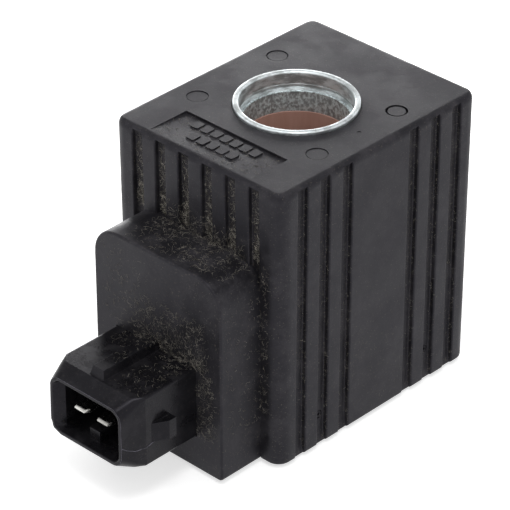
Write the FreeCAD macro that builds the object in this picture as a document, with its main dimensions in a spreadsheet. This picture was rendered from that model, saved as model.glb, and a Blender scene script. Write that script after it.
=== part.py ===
import FreeCAD, Part

# Encapsulated coil of a solenoid, with a two-blade plug socket.
#
# Millimetres. The bore axis is Z and the origin is the middle of the bore, so the coil is
# mirrored about the XY plane apart from its plug. The plug socket points towards -Y.
# The sizes run from the inside out: bore, bobbin, winding, steel circuit, then the plastic
# around them, so a change of one of them carries everything that lies further out with it.
# The underside is the parting plane of the mould, so only the upper rim is rounded.

import math
import os

import Sketcher
from FreeCAD import Placement, Rotation, Vector

# Name, value and meaning of every driving size
SIZES = [
    ("bore_diameter", 17.0, "hole for the armature tube, through bobbin and steel plates"),
    ("bobbin_wall", 1.0, "wall of the bobbin barrel"),
    ("flange_thickness", 1.2, "thickness of each bobbin flange"),
    ("winding_depth", 4.7, "radial build of the copper winding"),
    ("tape_thickness", 0.2, "insulating tape around the winding"),
    ("window_height", 37.0, "free height between the two steel plates"),
    ("plate_thickness", 3.5, "steel plate at each end of the winding"),
    ("plate_inset", 2.7, "plastic between the plate edge and the side face"),
    ("plate_chamfer", 3.0, "cut corners of the steel plates"),
    ("yoke_gap", 0.6, "space between the tape and the steel yokes"),
    ("yoke_thickness", 3.0, "steel side piece that closes the magnetic circuit"),
    ("yoke_width", 24.0, "width of a yoke"),
    ("tenon_width", 12.0, "tongue of the yoke, staked so that it fills the notch of the plate"),
    ("ring_step", 0.5, "how much wider the ring is inside than the bore"),
    ("ring_wall", 1.0, "wall of the zinc-plated end ring"),
    ("ring_proud", 0.6, "how far the ring stands above the plastic"),
    ("side_wall", 3.3, "plastic beside the winding, on the left and right"),
    ("end_wall", 4.4, "plastic outside the yokes, at the front and back"),
    ("cover_thickness", 2.7, "plastic over each steel plate"),
    ("corner_radius", 2.6, "upright corners of the moulding"),
    ("edge_radius", 1.2, "rounding along the upper rim"),
    ("foot_bevel", 0.5, "broken edge along the lower rim"),
    ("overrun", 1.0, "cuts start, and added solids end, this far past the face they meet"),
    ("groove_width", 2.1, "flute in the outside of the moulding"),
    ("groove_depth", 0.9, "depth of a flute"),
    ("groove_pitch", 4.95, "distance from flute to flute"),
    ("front_grooves", 6, "flutes across the front and across the back"),
    ("side_grooves", 3, "flutes at each end of a side face"),
    ("corner_land", 5.0, "distance from the corner to the first flute of a side"),
    ("recess_width", 21.4, "marking field on the top, left bare"),
    ("recess_length", 9.0, "from the front edge towards the bore"),
    ("recess_depth", 0.3, "depth of the marking field"),
    ("ejector_diameter", 4.0, "round mark of an ejector pin"),
    ("ejector_depth", 0.15, "depth of such a mark"),
    ("ejector_x", 12.7, "place of the four marks"),
    ("ejector_y", 9.0, "place of the four marks"),
    ("pad_width", 27.4, "block that carries the plug socket"),
    ("pad_offset", 0.1, "how far the block sits to the left of the bore"),
    ("pad_rise", 35.7, "top of the block above the underside of the coil"),
    ("pad_projection", 8.5, "from the front face to the face of the block"),
    ("pad_corner_radius", 5.0, "upper corners of the block"),
    ("pad_edge_bevel", 0.4, "broken edge round the face of the block"),
    ("plug_offset", 0.5, "how far the plug axis lies to the left of the bore"),
    ("plug_rise", 12.6, "plug axis above the underside of the coil"),
    ("plug_reach", 15.2, "from the face of the block to the mouth"),
    ("shroud_width", 17.4, "outside of the shroud behind its nose"),
    ("shroud_height", 12.6, "outside of the shroud behind its nose"),
    ("shroud_radius", 0.5, "corner radius of that section"),
    ("mouth_width", 15.6, "outside of the shroud at its mouth"),
    ("mouth_height", 10.2, "outside of the shroud at its mouth"),
    ("mouth_radius", 2.2, "corner radius at the mouth"),
    ("nose_length", 4.4, "sloped part of the left and right walls, behind the mouth"),
    ("bevel_length", 2.8, "sloped part of the upper and lower walls, behind the mouth"),
    ("bevel_width", 16.6, "outside width of the shroud where that shorter slope ends"),
    ("bevel_radius", 1.4, "corner radius of that section"),
    ("rim_wall", 0.6, "wall of the shroud at its mouth"),
    ("lead_in_length", 1.6, "length of the slope inside the mouth"),
    ("lead_in_step", 1.2, "how far the socket narrows at its two ends"),
    ("socket_depth", 10.0, "from the mouth to the floor behind the blades"),
    ("socket_radius", 0.5, "corner radius of the socket"),
    ("rib_width", 3.2, "raised rib on top of the shroud"),
    ("rib_offset", 0.5, "how far the rib sits to the left of the plug axis"),
    ("rib_height", 1.5, "height of that rib"),
    ("rib_setback", 3.0, "from the mouth to the front end of the rib"),
    ("key_width", 2.2, "coding key on the lower wall of the socket"),
    ("key_height", 2.0, "height of the coding key"),
    ("key_setback", 1.9, "from the mouth to the coding key"),
    ("lug_height", 3.6, "latch lug on each side of the shroud"),
    ("lug_drop", 0.7, "middle of the lugs below the plug axis"),
    ("lug_reach", 1.6, "how far a lug stands out"),
    ("lug_ramp", 2.5, "length of its ramp"),
    ("lug_land", 2.1, "length of its flat top"),
    ("lug_setback", 5.5, "from the mouth to the foot of the ramp"),
    ("root_flange", 1.4, "how far the buried flange stands out round the shroud"),
    ("root_flange_thickness", 1.6, "thickness of the buried flange"),
    ("root_flange_depth", 1.6, "from the face of the block to the buried flange"),
    ("root_length", 5.6, "length of the shroud that is buried in the block"),
    ("blade_width", 2.8, "flat plug blade"),
    ("blade_thickness", 0.8, "flat plug blade"),
    ("blade_pitch", 5.0, "distance between the two blades"),
    ("blade_rise", 0.3, "middle of the blades above the plug axis"),
    ("blade_setback", 1.1, "from the mouth to the tip of a blade"),
    ("blade_taper", 1.0, "length of the narrowed tip"),
    ("tip_width", 2.1, "width of the tip"),
    ("tip_bevel", 0.25, "bevel on both faces of the tip"),
    ("shoulder_width", 4.0, "barb that holds the blade in the shroud"),
    ("shoulder_length", 2.0, "length of that barb"),
    ("shoulder_inset", 1.2, "from the floor of the socket to the barb"),
    ("tail_width", 1.6, "narrow end that the lead is soldered to"),
    ("tail_length", 3.6, "how far the tail reaches out of the shroud root"),
    ("lead_diameter", 0.7, "lead of the winding, which meets the end of the tail"),
    ("solder_diameter", 2.4, "solder round the joint of tail and lead"),
    ("solder_length", 2.6, "length of that solder, half of it over the tail"),
    ("sleeve_wall", 0.3, "insulating sleeve over the lead"),
    ("sleeve_start", 0.4, "from the tape to the start of the sleeve"),
    ("sleeve_gap", 0.6, "from the end of the sleeve to the solder"),
    ("lead_window_margin", 1.2, "space round the sleeves in the front yoke"),
]

doc = FreeCAD.newDocument("SolenoidCoil")
sheet = doc.addObject("Spreadsheet::Sheet", "Sizes")
for row, (name, value, meaning) in enumerate(SIZES, start=1):
    sheet.set(f"A{row}", name)
    sheet.set(f"B{row}", str(value))
    sheet.set(f"C{row}", meaning)
    sheet.setAlias(f"B{row}", name)
doc.recompute()


class Length:
    """A length with its value now and the formula that keeps it tied to the sheet."""

    def __init__(self, value, formula):
        self.value = value
        self.formula = formula

    def __add__(self, other):
        other = as_length(other)
        return Length(self.value + other.value, f"({self.formula} + {other.formula})")

    def __sub__(self, other):
        other = as_length(other)
        return Length(self.value - other.value, f"({self.formula} - {other.formula})")

    def __mul__(self, number):
        return Length(self.value * number, f"({self.formula} * {number})")

    def __truediv__(self, number):
        return Length(self.value / number, f"({self.formula} / {number})")

    def __neg__(self):
        return Length(-self.value, f"(-1 * {self.formula})")


def as_length(item):
    """A Length stays one, and a plain number becomes one."""
    if isinstance(item, Length):
        return item
    return Length(float(item), str(item))


def size(name):
    """The named size of the sheet."""
    return Length(float(sheet.get(name)), f"Sizes.{name}")


# Radii and levels that several pieces share, worked out from the inside to the outside
bore_radius = size("bore_diameter") / 2
barrel_radius = bore_radius + size("bobbin_wall")
winding_radius = barrel_radius + size("winding_depth")
tape_radius = winding_radius + size("tape_thickness")
ring_inner_radius = bore_radius + size("ring_step")
ring_outer_radius = ring_inner_radius + size("ring_wall")

plate_inner_level = size("window_height") / 2
plate_outer_level = plate_inner_level + size("plate_thickness")
cover_level = plate_outer_level + size("cover_thickness")
ring_level = cover_level + size("ring_proud")
underside = -cover_level

half_width = tape_radius + size("side_wall")
plate_half_width = half_width - size("plate_inset")
yoke_inner = tape_radius + size("yoke_gap")
yoke_outer = yoke_inner + size("yoke_thickness")
half_depth = yoke_outer + size("end_wall")

# Distances in front of the bore axis, along the plug axis
pad_face = half_depth + size("pad_projection")
mouth_face = pad_face + size("plug_reach")
nose_end = mouth_face - size("nose_length")
bevel_end = mouth_face - size("bevel_length")
socket_floor = mouth_face - size("socket_depth")
root_end = pad_face - size("root_length")
blade_tip = mouth_face - size("blade_setback")
shoulder_front = socket_floor - size("shoulder_inset")
shoulder_back = shoulder_front - size("shoulder_length")
tail_end = root_end - size("tail_length")
solder_start = tail_end - size("solder_length") / 2

plug_x = -size("plug_offset")
plug_z = underside + size("plug_rise")
blade_z = plug_z + size("blade_rise")
overrun = size("overrun")


def bind(thing, path, length):
    """Tie one number of an object to its formula, such as Length or Placement.Base.z."""
    thing.setExpression(path, as_length(length).formula)


def new_body(label):
    """An empty body whose label names its file."""
    body = doc.addObject("PartDesign::Body", label)
    body.Label = label
    return body


def new_sketch(body, role, offset=0):
    """A sketch on one of the body's own planes, moved along the plane's normal by offset.

    The normal of XY_Plane is +Z, that of YZ_Plane is +X and that of XZ_Plane is -Y, which
    is the way the plug points.
    """
    sketch = body.newObject("Sketcher::SketchObject", f"{body.Label}_sketch")
    plane = next(item for item in body.Origin.OriginFeatures if item.Role == role)
    sketch.AttachmentSupport = (plane, [""])
    sketch.MapMode = "FlatFace"
    bind(sketch, "AttachmentOffset.Base.z", offset)
    return sketch


def four_fold(quarter):
    """A whole outline from its part between the +X and the +Y axis, mirrored about both."""
    outline = []
    for across_sign, along_sign in ((1, 1), (-1, 1), (-1, -1), (1, -1)):
        points = quarter if across_sign == along_sign else reversed(quarter)
        outline += [(across * across_sign, along * along_sign) for across, along in points]
    return outline


def hold(sketch, kind, element, point, length):
    """Hold one point of the sketch at a distance from its origin along one axis."""
    ends = [(-1, 1), (element, point)]
    if length.value < 0:
        ends.reverse()
        length = -length
    (first, first_end), (second, second_end) = ends
    number = sketch.addConstraint(
        Sketcher.Constraint(kind, first, first_end, second, second_end, length.value)
    )
    bind(sketch, f"Constraints[{number}]", length)


def polygon(sketch, points):
    """A closed outline of straight lines through the points, each a pair of lengths."""
    points = [(as_length(across), as_length(along)) for across, along in points]
    corners = [Vector(across.value, along.value, 0) for across, along in points]
    lines = []
    for start, end in zip(corners, corners[1:] + corners[:1]):
        lines.append(sketch.addGeometry(Part.LineSegment(start, end), False))
    for line, following in zip(lines, lines[1:] + lines[:1]):
        sketch.addConstraint(Sketcher.Constraint("Coincident", line, 2, following, 1))
    for line, (across, along) in zip(lines, points):
        hold(sketch, "DistanceX", line, 1, across)
        hold(sketch, "DistanceY", line, 1, along)


def rectangle(sketch, left, right, bottom, top):
    """A closed rectangle between four lengths."""
    polygon(sketch, [(left, bottom), (right, bottom), (right, top), (left, top)])


def circle(sketch, radius, across=0, along=0):
    """A full circle of the given radius."""
    across, along = as_length(across), as_length(along)
    centre = Vector(across.value, along.value, 0)
    ring = sketch.addGeometry(Part.Circle(centre, Vector(0, 0, 1), radius.value), False)
    number = sketch.addConstraint(Sketcher.Constraint("Radius", ring, radius.value))
    bind(sketch, f"Constraints[{number}]", radius)
    if across.value == 0 and along.value == 0:
        sketch.addConstraint(Sketcher.Constraint("Coincident", ring, 3, -1, 1))
    else:
        hold(sketch, "DistanceX", ring, 3, across)
        hold(sketch, "DistanceY", ring, 3, along)


def rounded_outline(sketch, left, right, bottom, top, radius, square_foot=False):
    """A rectangle with round corners, or with only its upper two corners round."""
    west, east, south, north, bend = left.value, right.value, bottom.value, top.value, radius.value
    foot = 0.0 if square_foot else bend
    upright = Vector(0, 0, 1)

    def line(x_start, y_start, x_end, y_end):
        edge = Part.LineSegment(Vector(x_start, y_start, 0), Vector(x_end, y_end, 0))
        return sketch.addGeometry(edge, False)

    def arc(x_centre, y_centre, turn):
        whole = Part.Circle(Vector(x_centre, y_centre, 0), upright, bend)
        start, end = turn * math.pi / 2, (turn + 1) * math.pi / 2
        return sketch.addGeometry(Part.ArcOfCircle(whole, start, end), False)

    south_line = line(west + foot, south, east - foot, south)
    east_line = line(east, south + foot, east, north - bend)
    north_line = line(east - bend, north, west + bend, north)
    west_line = line(west, north - bend, west, south + foot)
    arcs = [arc(east - bend, north - bend, 0), arc(west + bend, north - bend, 1)]
    chain = [east_line, arcs[0], north_line, arcs[1], west_line]
    if square_foot:
        for before, after in ((west_line, south_line), (south_line, east_line)):
            sketch.addConstraint(Sketcher.Constraint("Coincident", before, 2, after, 1))
    else:
        arcs.append(arc(west + bend, south + bend, 2))
        arcs.append(arc(east - bend, south + bend, 3))
        chain += [arcs[2], south_line, arcs[3], east_line]
    for before, after in zip(chain, chain[1:]):
        sketch.addConstraint(Sketcher.Constraint("Tangent", before, 2, after, 1))
    for flat in (south_line, north_line):
        sketch.addConstraint(Sketcher.Constraint("Horizontal", flat))
    for steep in (east_line, west_line):
        sketch.addConstraint(Sketcher.Constraint("Vertical", steep))
    for other in arcs[1:]:
        sketch.addConstraint(Sketcher.Constraint("Equal", arcs[0], other))
    number = sketch.addConstraint(Sketcher.Constraint("Radius", arcs[0], bend))
    bind(sketch, f"Constraints[{number}]", radius)
    hold(sketch, "DistanceX", east_line, 1, right)
    hold(sketch, "DistanceX", west_line, 1, left)
    hold(sketch, "DistanceY", north_line, 1, top)
    hold(sketch, "DistanceY", south_line, 1, bottom)


def pad(body, sketch, length, reverse=False):
    """Add the sketch's area as a solid, along its normal."""
    feature = body.newObject("PartDesign::Pad", f"{body.Label}_pad")
    feature.Profile = sketch
    feature.Reversed = reverse
    bind(feature, "Length", length)
    return feature


def pocket(body, sketch, depth=None):
    """Cut the sketch's area against its normal, by a depth or right through."""
    feature = body.newObject("PartDesign::Pocket", f"{body.Label}_pocket")
    feature.Profile = sketch
    if depth is None:
        feature.Type = "ThroughAll"
    else:
        bind(feature, "Length", depth)
    return feature


def turn(body, points):
    """Turn a closed outline of radius and level pairs about the bore axis."""
    sketch = new_sketch(body, "XZ_Plane")
    polygon(sketch, points)
    feature = body.newObject("PartDesign::Revolution", f"{body.Label}_turned")
    feature.Profile = sketch
    feature.ReferenceAxis = (sketch, ["V_Axis"])
    feature.Angle = 360
    return feature


def dress(body, kind, base, edge_names, amount):
    """Round or bevel the named edges of the last feature. kind is Fillet or Chamfer."""
    feature = body.newObject(f"PartDesign::{kind}", f"{body.Label}_{kind.lower()}")
    feature.Base = (base, edge_names)
    bind(feature, "Radius" if kind == "Fillet" else "Size", amount)
    return feature


def edges_where(feature, test):
    """Names of the feature's edges that pass a test on their lowest and highest corners."""
    doc.recompute()
    names = []
    for number, edge in enumerate(feature.Shape.Edges, start=1):
        box = edge.BoundBox
        if test(box):
            names.append(f"Edge{number}")
    return names


def near(one, other):
    """Whether two numbers are the same to a hundredth of a millimetre."""
    return abs(one - other) < 0.01


def make_bobbin():
    """Moulded bobbin: a barrel with a flange at each end, as wide as the taped winding."""
    body = new_body("bobbin")
    flange_level = plate_inner_level - size("flange_thickness")
    turn(body, [
        (bore_radius, -plate_inner_level),
        (tape_radius, -plate_inner_level),
        (tape_radius, -flange_level),
        (barrel_radius, -flange_level),
        (barrel_radius, flange_level),
        (tape_radius, flange_level),
        (tape_radius, plate_inner_level),
        (bore_radius, plate_inner_level),
    ])
    return body


def make_sleeve_round_axis(label, inner, outer, level):
    """A plain tube round the bore axis, between minus level and plus level."""
    body = new_body(label)
    turn(body, [(inner, -level), (outer, -level), (outer, level), (inner, level)])
    return body


def make_plate(label, turned_over):
    """Steel plate with the bore, cut corners and a notch for the tongue of each yoke."""
    body = new_body(label)
    sketch = new_sketch(body, "XY_Plane", plate_inner_level)
    cut_corner = size("plate_chamfer")
    notch = size("tenon_width") / 2
    polygon(sketch, four_fold([
        (plate_half_width, yoke_outer - cut_corner),
        (plate_half_width - cut_corner, yoke_outer),
        (notch, yoke_outer),
        (notch, yoke_inner),
    ]))
    circle(sketch, bore_radius)
    pad(body, sketch, size("plate_thickness"))
    if turned_over:
        body.Placement = Placement(Vector(0, 0, 0), Rotation(Vector(1, 0, 0), 180))
    return body


def make_yoke(label, at_back):
    """Steel side piece with a staked tongue at each end. The front one lets the leads out."""
    body = new_body(label)
    sketch = new_sketch(body, "XZ_Plane", yoke_inner)
    tongue = size("tenon_width") / 2
    polygon(sketch, four_fold([
        (size("yoke_width") / 2, plate_inner_level),
        (tongue, plate_inner_level),
        (tongue, plate_outer_level),
    ]))
    pad(body, sketch, size("yoke_thickness"))
    if at_back:
        body.Placement = Placement(Vector(0, 0, 0), Rotation(Vector(0, 0, 1), 180))
    else:
        window = new_sketch(body, "XZ_Plane", yoke_outer)
        room = size("lead_diameter") / 2 + size("sleeve_wall") + size("lead_window_margin")
        reach = size("blade_pitch") / 2 + room
        rectangle(window, plug_x - reach, plug_x + reach, blade_z - room, blade_z + room)
        pocket(body, window)
    return body


def make_ring(label, turned_over):
    """Zinc-plated steel ring that stands on the plate and just out of the plastic."""
    body = new_body(label)
    turn(body, [
        (ring_inner_radius, plate_outer_level),
        (ring_outer_radius, plate_outer_level),
        (ring_outer_radius, ring_level),
        (ring_inner_radius, ring_level),
    ])
    if turned_over:
        body.Placement = Placement(Vector(0, 0, 0), Rotation(Vector(1, 0, 0), 180))
    return body


def make_terminal(label, side):
    """Flat plug blade with a narrowed tip, a barb in the shroud and a tail for the lead."""
    body = new_body(label)
    middle = side_x(side)
    sketch = new_sketch(body, "XY_Plane", blade_z - size("blade_thickness") / 2)
    steps = [
        (size("tip_width") / 2, -blade_tip),
        (size("blade_width") / 2, size("blade_taper") - blade_tip),
        (size("blade_width") / 2, -shoulder_front),
        (size("shoulder_width") / 2, -shoulder_front),
        (size("shoulder_width") / 2, -shoulder_back),
        (size("tail_width") / 2, -shoulder_back),
        (size("tail_width") / 2, -tail_end),
    ]
    right = [(middle + across, along) for across, along in steps]
    left = [(middle - across, along) for across, along in reversed(steps)]
    polygon(sketch, right + left)
    blank = pad(body, sketch, size("blade_thickness"))
    tip = edges_where(blank, lambda box: near(box.YMin, -blade_tip.value)
                      and near(box.YMax, -blade_tip.value) and box.XLength > 1.0)
    dress(body, "Chamfer", blank, tip, size("tip_bevel"))
    return body


def side_x(side):
    """Place of the left (-1) or right (1) blade across the coil."""
    return plug_x + size("blade_pitch") / 2 * side


def make_lead_wire(label, side):
    """Round wire from inside the winding to the tail. Its inner end is trimmed later."""
    body = new_body(label)
    sketch = new_sketch(body, "XZ_Plane", winding_radius - overrun)
    circle(sketch, size("lead_diameter") / 2, side_x(side), blade_z)
    pad(body, sketch, tail_end - winding_radius + overrun)
    return body


def make_sleeve(label, side):
    """Insulating sleeve over the lead, where it passes the window of the yoke."""
    body = new_body(label)
    start = tape_radius + size("sleeve_start")
    end = solder_start - size("sleeve_gap")
    sketch = new_sketch(body, "XZ_Plane", start)
    inner = size("lead_diameter") / 2
    circle(sketch, inner + size("sleeve_wall"), side_x(side), blade_z)
    circle(sketch, inner, side_x(side), blade_z)
    pad(body, sketch, end - start)
    return body


def make_solder(label, side, wire, terminal):
    """Solder that closes round the end of the tail and the end of its lead."""
    blank = new_body(f"{label}_blank")
    sketch = new_sketch(blank, "XZ_Plane", solder_start)
    circle(sketch, size("solder_diameter") / 2, side_x(side), blade_z)
    pad(blank, sketch, size("solder_length"))
    return cut(label, blank, [wire, terminal])


def cut(label, base, tools):
    """What is left of base once the tools are taken out of it, as an object of its own."""
    if len(tools) == 1:
        tool = tools[0]
    else:
        tool = doc.addObject("Part::Compound", f"{label}_tools")
        tool.Links = tools
    result = doc.addObject("Part::Cut", label)
    result.Base = base
    result.Tool = tool
    result.Label = label
    return result


def make_shroud_form():
    """Plug shroud: beveled nose, rib, latch lugs, keyed socket and a flanged buried root."""
    body = new_body("shroud_form")
    wide, tall = size("shroud_width") / 2, size("shroud_height") / 2
    left, right = plug_x - wide, plug_x + wide
    low, high = plug_z - tall, plug_z + tall

    tube = new_sketch(body, "XZ_Plane", root_end)
    rounded_outline(tube, left, right, low, high, size("shroud_radius"))
    pad(body, tube, nose_end - root_end)

    # Sloped nose: the upper and lower walls reach their full height sooner than the left and
    # right walls reach their full width
    mouth_wide, mouth_tall = size("mouth_width") / 2, size("mouth_height") / 2
    bevel_wide = size("bevel_width") / 2
    sections = []
    for distance, across, up, radius in (
        (nose_end, wide, tall, size("shroud_radius")),
        (bevel_end, bevel_wide, tall, size("bevel_radius")),
        (mouth_face, mouth_wide, mouth_tall, size("mouth_radius")),
    ):
        section = new_sketch(body, "XZ_Plane", distance)
        rounded_outline(section, plug_x - across, plug_x + across,
                        plug_z - up, plug_z + up, radius)
        sections.append(section)
    nose = body.newObject("PartDesign::AdditiveLoft", "shroud_nose")
    nose.Profile = sections[0]
    nose.Sections = sections[1:]
    nose.Ruled = True

    flange_reach = size("root_flange")
    flange = new_sketch(body, "XZ_Plane", pad_face - size("root_flange_depth"))
    rounded_outline(flange, left - flange_reach, right + flange_reach,
                    low - flange_reach, high + flange_reach, size("shroud_radius"))
    pad(body, flange, size("root_flange_thickness"), reverse=True)

    rib = new_sketch(body, "XZ_Plane", root_end)
    rib_left = plug_x - size("rib_offset") - size("rib_width") / 2
    rectangle(rib, rib_left, rib_left + size("rib_width"), plug_z, high + size("rib_height"))
    pad(body, rib, mouth_face - size("rib_setback") - root_end)

    # Ramps for the latch of the plug, seen from above: foot, crest and back face
    lug_sketch = new_sketch(body, "XY_Plane", plug_z - size("lug_drop") - size("lug_height") / 2)
    foot = size("lug_setback") - mouth_face
    crest = foot + size("lug_ramp")
    back = crest + size("lug_land")
    reach = wide + size("lug_reach")
    inside = wide - overrun
    ramp = [(inside, foot), (wide, foot), (reach, crest), (reach, back), (inside, back)]
    polygon(lug_sketch, [(plug_x + across, along) for across, along in ramp])
    polygon(lug_sketch, [(plug_x - across, along) for across, along in ramp])
    pad(body, lug_sketch, size("lug_height"))

    # Socket: a straight well, with a slope that widens its two ends at the mouth
    rim = size("rim_wall")
    well_wide = mouth_wide - rim - size("lead_in_step")
    well_tall = mouth_tall - rim
    radius = size("socket_radius")
    well = new_sketch(body, "XZ_Plane", mouth_face)
    rounded_outline(well, plug_x - well_wide, plug_x + well_wide,
                    plug_z - well_tall, plug_z + well_tall, radius)
    pocket(body, well, size("socket_depth"))
    funnel_mouth = new_sketch(body, "XZ_Plane", mouth_face)
    rounded_outline(funnel_mouth, plug_x - mouth_wide + rim, plug_x + mouth_wide - rim,
                    plug_z - well_tall, plug_z + well_tall, size("mouth_radius") - rim)
    funnel_end = new_sketch(body, "XZ_Plane", mouth_face - size("lead_in_length"))
    rounded_outline(funnel_end, plug_x - well_wide, plug_x + well_wide,
                    plug_z - well_tall, plug_z + well_tall, radius)
    funnel = body.newObject("PartDesign::SubtractiveLoft", "socket_lead_in")
    funnel.Profile = funnel_mouth
    funnel.Sections = [funnel_end]
    funnel.Ruled = True

    key = new_sketch(body, "XZ_Plane", socket_floor)
    key_half = size("key_width") / 2
    rectangle(key, plug_x - key_half, plug_x + key_half,
              plug_z - well_tall - rim / 2, plug_z - well_tall + size("key_height"))
    last = pad(body, key, size("socket_depth") - size("key_setback"))
    body.Tip = last
    return body


def groove_pattern(body, feature, sketch, axis, reverse, count, pitch):
    """Repeat a flute along one axis of its sketch."""
    pattern = body.newObject("PartDesign::LinearPattern", f"{body.Label}_pattern")
    pattern.Originals = [feature]
    pattern.Direction = (sketch, [axis])
    pattern.Reversed = reverse
    bind(pattern, "Length", Length((count.value - 1) * pitch.value,
                                   f"(({count.formula} - 1) * {pitch.formula})"))
    pattern.setExpression("Occurrences", count.formula)
    body.Tip = pattern
    return pattern


def make_moulding_form():
    """Outside of the overmoulded coil: fluted block, plug block, marking field and pin marks."""
    body = new_body("moulding_form")
    block_sketch = new_sketch(body, "XY_Plane", underside)
    rectangle(block_sketch, -half_width, half_width, -half_depth, half_depth)
    block = pad(body, block_sketch, cover_level * 2)
    upright = edges_where(block, lambda box: box.ZLength > cover_level.value)
    rounded = dress(body, "Fillet", block, upright, size("corner_radius"))
    level = cover_level.value
    rims = edges_where(rounded, lambda box: box.ZLength < 0.01 and near(box.ZMin, level))
    rounded = dress(body, "Fillet", rounded, rims, size("edge_radius"))
    rims = edges_where(rounded, lambda box: box.ZLength < 0.01 and near(box.ZMax, -level))
    rounded = dress(body, "Chamfer", rounded, rims, size("foot_bevel"))

    # Flutes across the front and the back, cut downwards from the top
    pitch, flute = size("groove_pitch"), size("groove_width") / 2
    depth = size("groove_depth")
    count = size("front_grooves")
    first = Length(-(count.value - 1) / 2 * pitch.value,
                   f"((1 - {count.formula}) / 2 * {pitch.formula})")
    sketch = new_sketch(body, "XY_Plane", cover_level)
    for sign in (-1, 1):
        floor = (half_depth - depth) * sign
        outside = (half_depth + overrun) * sign
        rectangle(sketch, first - flute, first + flute, floor, outside)
    flutes = pocket(body, sketch)
    groove_pattern(body, flutes, sketch, "H_Axis", False, count, pitch)

    # Flutes at both ends of the left and the right side
    for end in (-1, 1):
        sketch = new_sketch(body, "XY_Plane", cover_level)
        middle = (half_depth - size("corner_land")) * end
        for sign in (-1, 1):
            floor = (half_width - depth) * sign
            outside = (half_width + overrun) * sign
            rectangle(sketch, floor, outside, middle - flute, middle + flute)
        flutes = pocket(body, sketch)
        groove_pattern(body, flutes, sketch, "V_Axis", end > 0, size("side_grooves"), pitch)

    # Block that carries the plug, down to the underside
    pad_start = half_depth - depth - overrun
    pad_sketch = new_sketch(body, "XZ_Plane", pad_start)
    pad_left = -size("pad_offset") - size("pad_width") / 2
    pad_right = pad_left + size("pad_width")
    rounded_outline(pad_sketch, pad_left, pad_right, underside, underside + size("pad_rise"),
                    size("pad_corner_radius"), square_foot=True)
    plug_block = pad(body, pad_sketch, pad_face - pad_start)
    body.Tip = plug_block
    face = -pad_face.value
    edges = edges_where(plug_block, lambda box: near(box.YMin, face) and near(box.YMax, face)
                        and box.ZMax > underside.value + 0.01)
    body.Tip = dress(body, "Chamfer", plug_block, edges, size("pad_edge_bevel"))

    # Shallow marking field that runs out over the front edge, and four pin marks
    field = new_sketch(body, "XY_Plane", cover_level)
    field_half = size("recess_width") / 2
    rectangle(field, -field_half, field_half,
              -half_depth - overrun, size("recess_length") - half_depth)
    pocket(body, field, size("recess_depth"))
    marks = new_sketch(body, "XY_Plane", cover_level)
    for across in (-1, 1):
        for along in (-1, 1):
            circle(marks, size("ejector_diameter") / 2,
                   size("ejector_x") * across, size("ejector_y") * along)
    body.Tip = pocket(body, marks, size("ejector_depth"))
    return body


def make_core():
    """Space of the tool's core: the bore and the wider room inside both rings."""
    core = new_body("bore_core")
    stretches = [
        (bore_radius, -plate_outer_level, plate_outer_level),
        (ring_inner_radius, plate_outer_level, ring_level + overrun),
        (ring_inner_radius, -ring_level - overrun, -plate_outer_level),
    ]
    for radius, start, end in stretches:
        sketch = new_sketch(core, "XY_Plane", start)
        circle(sketch, radius)
        pad(core, sketch, end - start)
    return core


# The coil on its bobbin
bobbin = make_bobbin()
coil_level = plate_inner_level - size("flange_thickness")
winding = make_sleeve_round_axis("winding", barrel_radius, winding_radius, coil_level)
winding_tape = make_sleeve_round_axis("winding_tape", winding_radius, tape_radius, coil_level)

# The steel circuit around it
upper_plate = make_plate("upper_flux_plate", turned_over=False)
lower_plate = make_plate("lower_flux_plate", turned_over=True)
front_yoke = make_yoke("front_yoke", at_back=False)
back_yoke = make_yoke("back_yoke", at_back=True)
upper_ring = make_ring("upper_ring", turned_over=False)
lower_ring = make_ring("lower_ring", turned_over=True)

# Terminals, leads and what joins and insulates them, left and right of the plug axis
terminals, leads, sleeves, solders = [], [], [], []
for name, lead_name, side in (("left", "start", -1), ("right", "finish", 1)):
    terminals.append(make_terminal(f"{name}_terminal", side))
    wire = make_lead_wire(f"{lead_name}_wire", side)
    leads.append(cut(f"{lead_name}_lead", wire, [winding, winding_tape]))
    sleeves.append(make_sleeve(f"{lead_name}_sleeve", side))
    solders.append(make_solder(f"{lead_name}_solder", side, wire, terminals[-1]))

connector_shroud = cut("connector_shroud", make_shroud_form(), terminals)
steel = [upper_plate, lower_plate, front_yoke, back_yoke, upper_ring, lower_ring]
coil = [bobbin, winding, winding_tape]
buried = [make_core()] + steel + coil + leads + sleeves + solders + terminals + [connector_shroud]
encapsulation = cut("encapsulation", make_moulding_form(), buried)

pieces = [encapsulation, connector_shroud] + coil + steel + terminals + leads + sleeves + solders

doc.recompute()
for item in doc.Objects:
    if "Invalid" in item.State or "Error" in item.State:
        raise RuntimeError(f"{item.Label} could not be worked out: {item.State}")

os.makedirs("parts", exist_ok=True)
for piece in pieces:
    shape = piece.Shape
    if shape.isNull() or not shape.isValid() or not shape.Solids:
        raise RuntimeError(f"{piece.Label} has no valid solid")
    shape.exportStep(f"parts/{piece.Label}.step")
    box = shape.BoundBox
    print(f"{piece.Label}: {len(shape.Solids)} solid, {shape.Volume:.1f} mm3, "
          f"x {box.XMin:.2f} {box.XMax:.2f} y {box.YMin:.2f} {box.YMax:.2f} "
          f"z {box.ZMin:.2f} {box.ZMax:.2f}")
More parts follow.
